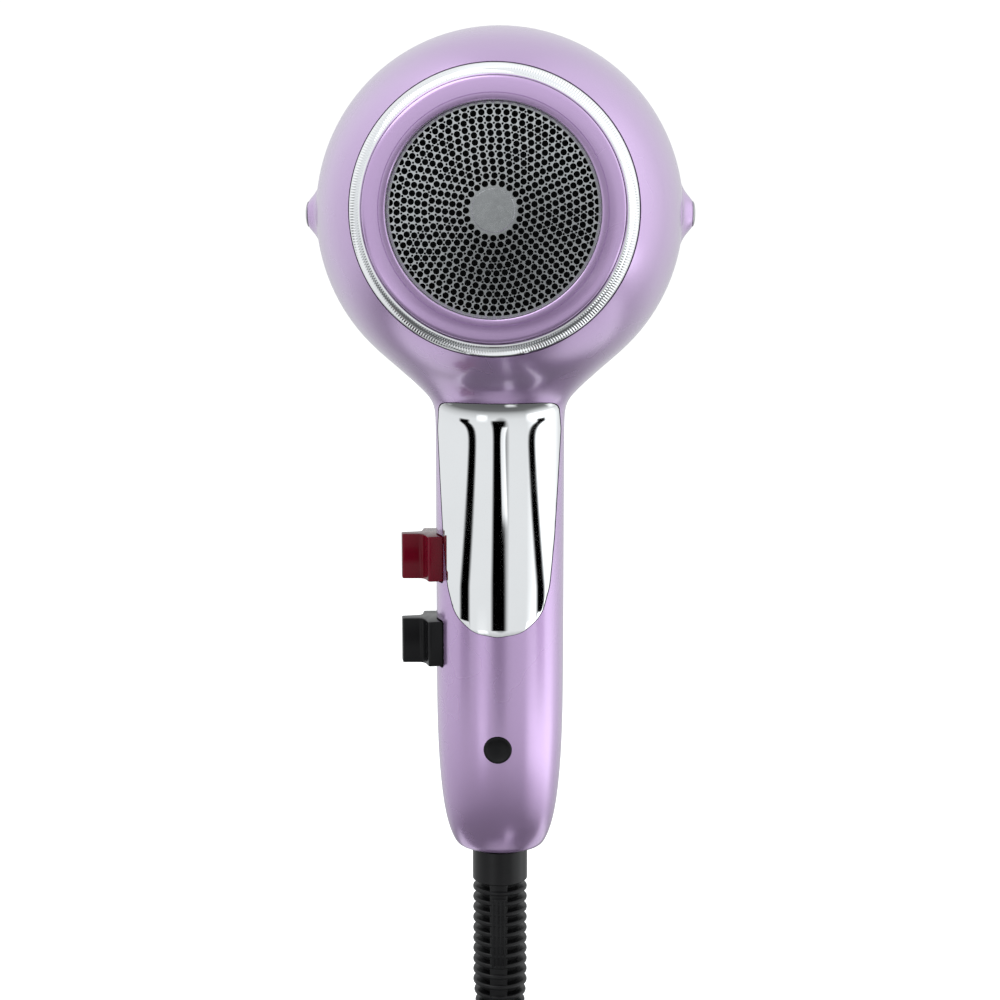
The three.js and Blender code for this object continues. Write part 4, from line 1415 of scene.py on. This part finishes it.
def sleeve_mesh():
    """Collar, thin ribs with rounded edges on a core, and the spine."""
    pitch = sizes().rib_pitch / MM
    profile = [(0, -169), (9, -169), (9, -171.2), (6.5, -171.2), (6.5, COLLAR_TOP), (7.4, COLLAR_TOP),
               (COLLAR_RADIUS, COLLAR_TOP - 0.25), (COLLAR_RADIUS, COLLAR_END + 0.25), (7.4, COLLAR_END)]
    for i in range(SLEEVE_RIBS):
        low = COLLAR_END - (i + 1) * pitch
        high = low + RIB_HEIGHT
        outer = rib_radius(i)
        core = min(GROOVE_RADIUS, outer - 1.1)
        profile += [(core, high + pitch - RIB_HEIGHT - 0.1), (core, high + 0.15), (outer - 0.4, high),
                    (outer - 0.1, high - 0.22), (outer, high - RIB_HEIGHT / 2), (outer - 0.1, low + 0.22),
                    (outer - 0.4, low)]
    profile += [(4.9, SLEEVE_END + 1.2), (4.7, SLEEVE_END), (3.9, SLEEVE_END), (0, SLEEVE_END + 0.4)]
    return joined(spun(profile, AXIS_Z, 48), sleeve_spine())


class DRYER_OT_sleeve(bpy.types.Operator):
    """The ribbed strain relief"""

    bl_idname = "dryer.sleeve"
    bl_label = "Strain relief"

    def execute(self, context):
        add_piece("ribbed_sleeve", sleeve_mesh(), sleeve_rubber(), "housing", "rubber", "strain_relief")
        return {"FINISHED"}


# ---------------------------------------------------------------------------------------------
# Outlet and inner pieces
# ---------------------------------------------------------------------------------------------

NOZZLE_PROFILE = [
    (21.8, 104), (24.6, 104), (24.6, 112.6), (24.15, 112.9), (24.15, 114.3), (24.6, 114.6), (24.6, 121.5),
    (24.35, 121.7), (24.35, 122.3), (24.6, 122.5), (24.6, 124.3), (24.4, 124.8), (24.0, 125), (22.2, 125),
    (21.9, 124.8), (21.8, 124.4),
]
GRILLE_BARS = 6
HEATER_RINGS = ("heater_coil_1", "heater_coil_2", "heater_coil_3", "heater_coil_4")
HEATER_RADIUS = 18.5
WIRE_RADIUS = 0.22
WINDINGS = 64
WINDING_POINTS = 8
WINDING_OUT = 1.2
WINDING_ALONG = 1.1


def outlet_grille():
    """Two hoops and radial bars with round edges."""
    hoops = []
    for outer in (7.4, 14.4, 21.5):
        section = [(outer - 1.4, 112.9), (outer, 112.9), (outer, 115), (outer - 1.4, 115)]
        hoops.append(spun(rounded(section, 0.35, 3), AXIS_Y, 96))
    hub = spun([(0, 112.7), (2.2, 112.7), (2.6, 112.9), (2.6, 114.9), (2.2, 115), (0, 115)], AXIS_Y, 32)
    bars = []
    for i in range(GRILLE_BARS):
        bar = block((1.5, 113.1, -0.6), (20.8, 114.8, 0.6), 0.3, 2)
        turn = Matrix.Rotation(2 * math.pi * i / GRILLE_BARS, 4, "Y")
        bar.transform(AXIS_Z @ turn)
        bars.append(bar)
    return joined(*hoops, hub, *bars)


def wound_wire(name, node):
    """Resistance wire wound round the hoop that its CAD ring stands for."""
    low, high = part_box(node)
    middle_y = (low[1] + high[1]) / 2
    curve = bpy.data.curves.new(name, "CURVE")
    curve.dimensions = "3D"
    curve.bevel_depth = WIRE_RADIUS * MM
    curve.bevel_resolution = 1
    curve.resolution_u = 1
    spline = curve.splines.new("POLY")
    steps = WINDINGS * WINDING_POINTS
    spline.points.add(steps - 1)
    spline.use_cyclic_u = True
    for i, point in enumerate(spline.points):
        around = 2 * math.pi * i / steps
        winding = 2 * math.pi * i / WINDING_POINTS
        radius = (HEATER_RADIUS + WINDING_OUT * math.cos(winding)) * MM
        point.co = (radius * math.cos(around), middle_y + WINDING_ALONG * MM * math.sin(winding),
                    HEAD_Z + radius * math.sin(around), 1)
    curve.materials.append(heater_wire())
    return new_object(name, curve)


class DRYER_OT_outlet(bpy.types.Operator):
    """Outlet ring, its grille and the heater's wound wire"""

    bl_idname = "dryer.outlet"
    bl_label = "Outlet"

    def execute(self, context):
        for name, bm, node in (
            ("outlet_ring", spun(NOZZLE_PROFILE, AXIS_Y, 128), "nozzle_ring"),
            ("outlet_bars", outlet_grille(), "outlet_grille"),
        ):
            add_piece(name, bm, black_plastic(), "housing", "black_plastic", node)
        for i, node in enumerate(HEATER_RINGS):
            wire = wound_wire(f"heater_winding_{i + 1}", node)
            settle(wire, "housing", "heater_wire", node)
        return {"FINISHED"}


class DRYER_OT_inside(bpy.types.Operator):
    """Finishes for the pieces inside, which keep their CAD shapes"""

    bl_idname = "dryer.inside"
    bl_label = "Inside"

    def execute(self, context):
        finishes = {
            "steel": zinc_steel, "satin_metal": satin_metal, "black_plastic": black_plastic,
            "rubber": sleeve_rubber, "lead": lead_rubber, "mica": mica_sheet, "board": board_green,
            "heater_wire": heater_wire, "white_plastic": white_plastic, "housing": lacquer,
            "chrome_trim": chrome, "grille": grille_sheet, "switch_black": gloss_black,
            "switch_red": red_clear,
        }
        slots = {s["node"]: s["material_slot"] for s in frame["record"]["subparts"]}
        for name, obj in NODES.items():
            # The filter cloth takes the near-black finish with painted shade instead of its slot's finish.
            finish = painted_shade_weave if name == "filter_mesh" else finishes[slots[name]]
            refinish(obj, finish())
        return {"FINISHED"}


# ---------------------------------------------------------------------------------------------
# Panel, registration and the build
# ---------------------------------------------------------------------------------------------

OPERATORS = (
    DRYER_OT_stage, DRYER_OT_lead, DRYER_OT_housing, DRYER_OT_trim, DRYER_OT_intake, DRYER_OT_rockers,
    DRYER_OT_sleeve, DRYER_OT_outlet, DRYER_OT_inside,
)


class DRYER_PT_panel(bpy.types.Panel):
    """Lists the dryer's settings and the pieces that can be built"""

    bl_idname = "DRYER_PT_panel"
    bl_label = "Hair dryer"
    bl_space_type = "VIEW_3D"
    bl_region_type = "UI"
    bl_category = "Dryer"

    def draw(self, context):
        layout = self.layout
        for group in (context.scene.dryer_sizes, context.scene.dryer_colours):
            box = layout.box()
            for name in group.__annotations__:
                box.prop(group, name)
        for operator in OPERATORS:
            layout.operator(operator.bl_idname)


CLASSES = (DryerSizes, DryerColours, *OPERATORS, DRYER_PT_panel)


def register():
    for cls in CLASSES:
        bpy.utils.register_class(cls)
    bpy.types.Scene.dryer_sizes = bpy.props.PointerProperty(type=DryerSizes)
    bpy.types.Scene.dryer_colours = bpy.props.PointerProperty(type=DryerColours)


def unregister():
    del bpy.types.Scene.dryer_colours
    del bpy.types.Scene.dryer_sizes
    for cls in reversed(CLASSES):
        bpy.utils.unregister_class(cls)


def main():
    register()
    bpy.ops.dryer.stage()
    bpy.ops.dryer.lead()
    bpy.ops.dryer.housing()
    bpy.ops.dryer.trim()
    bpy.ops.dryer.intake()
    bpy.ops.dryer.rockers()
    bpy.ops.dryer.sleeve()
    bpy.ops.dryer.outlet()
    bpy.ops.dryer.inside()


if __name__ == "__main__":
    main()
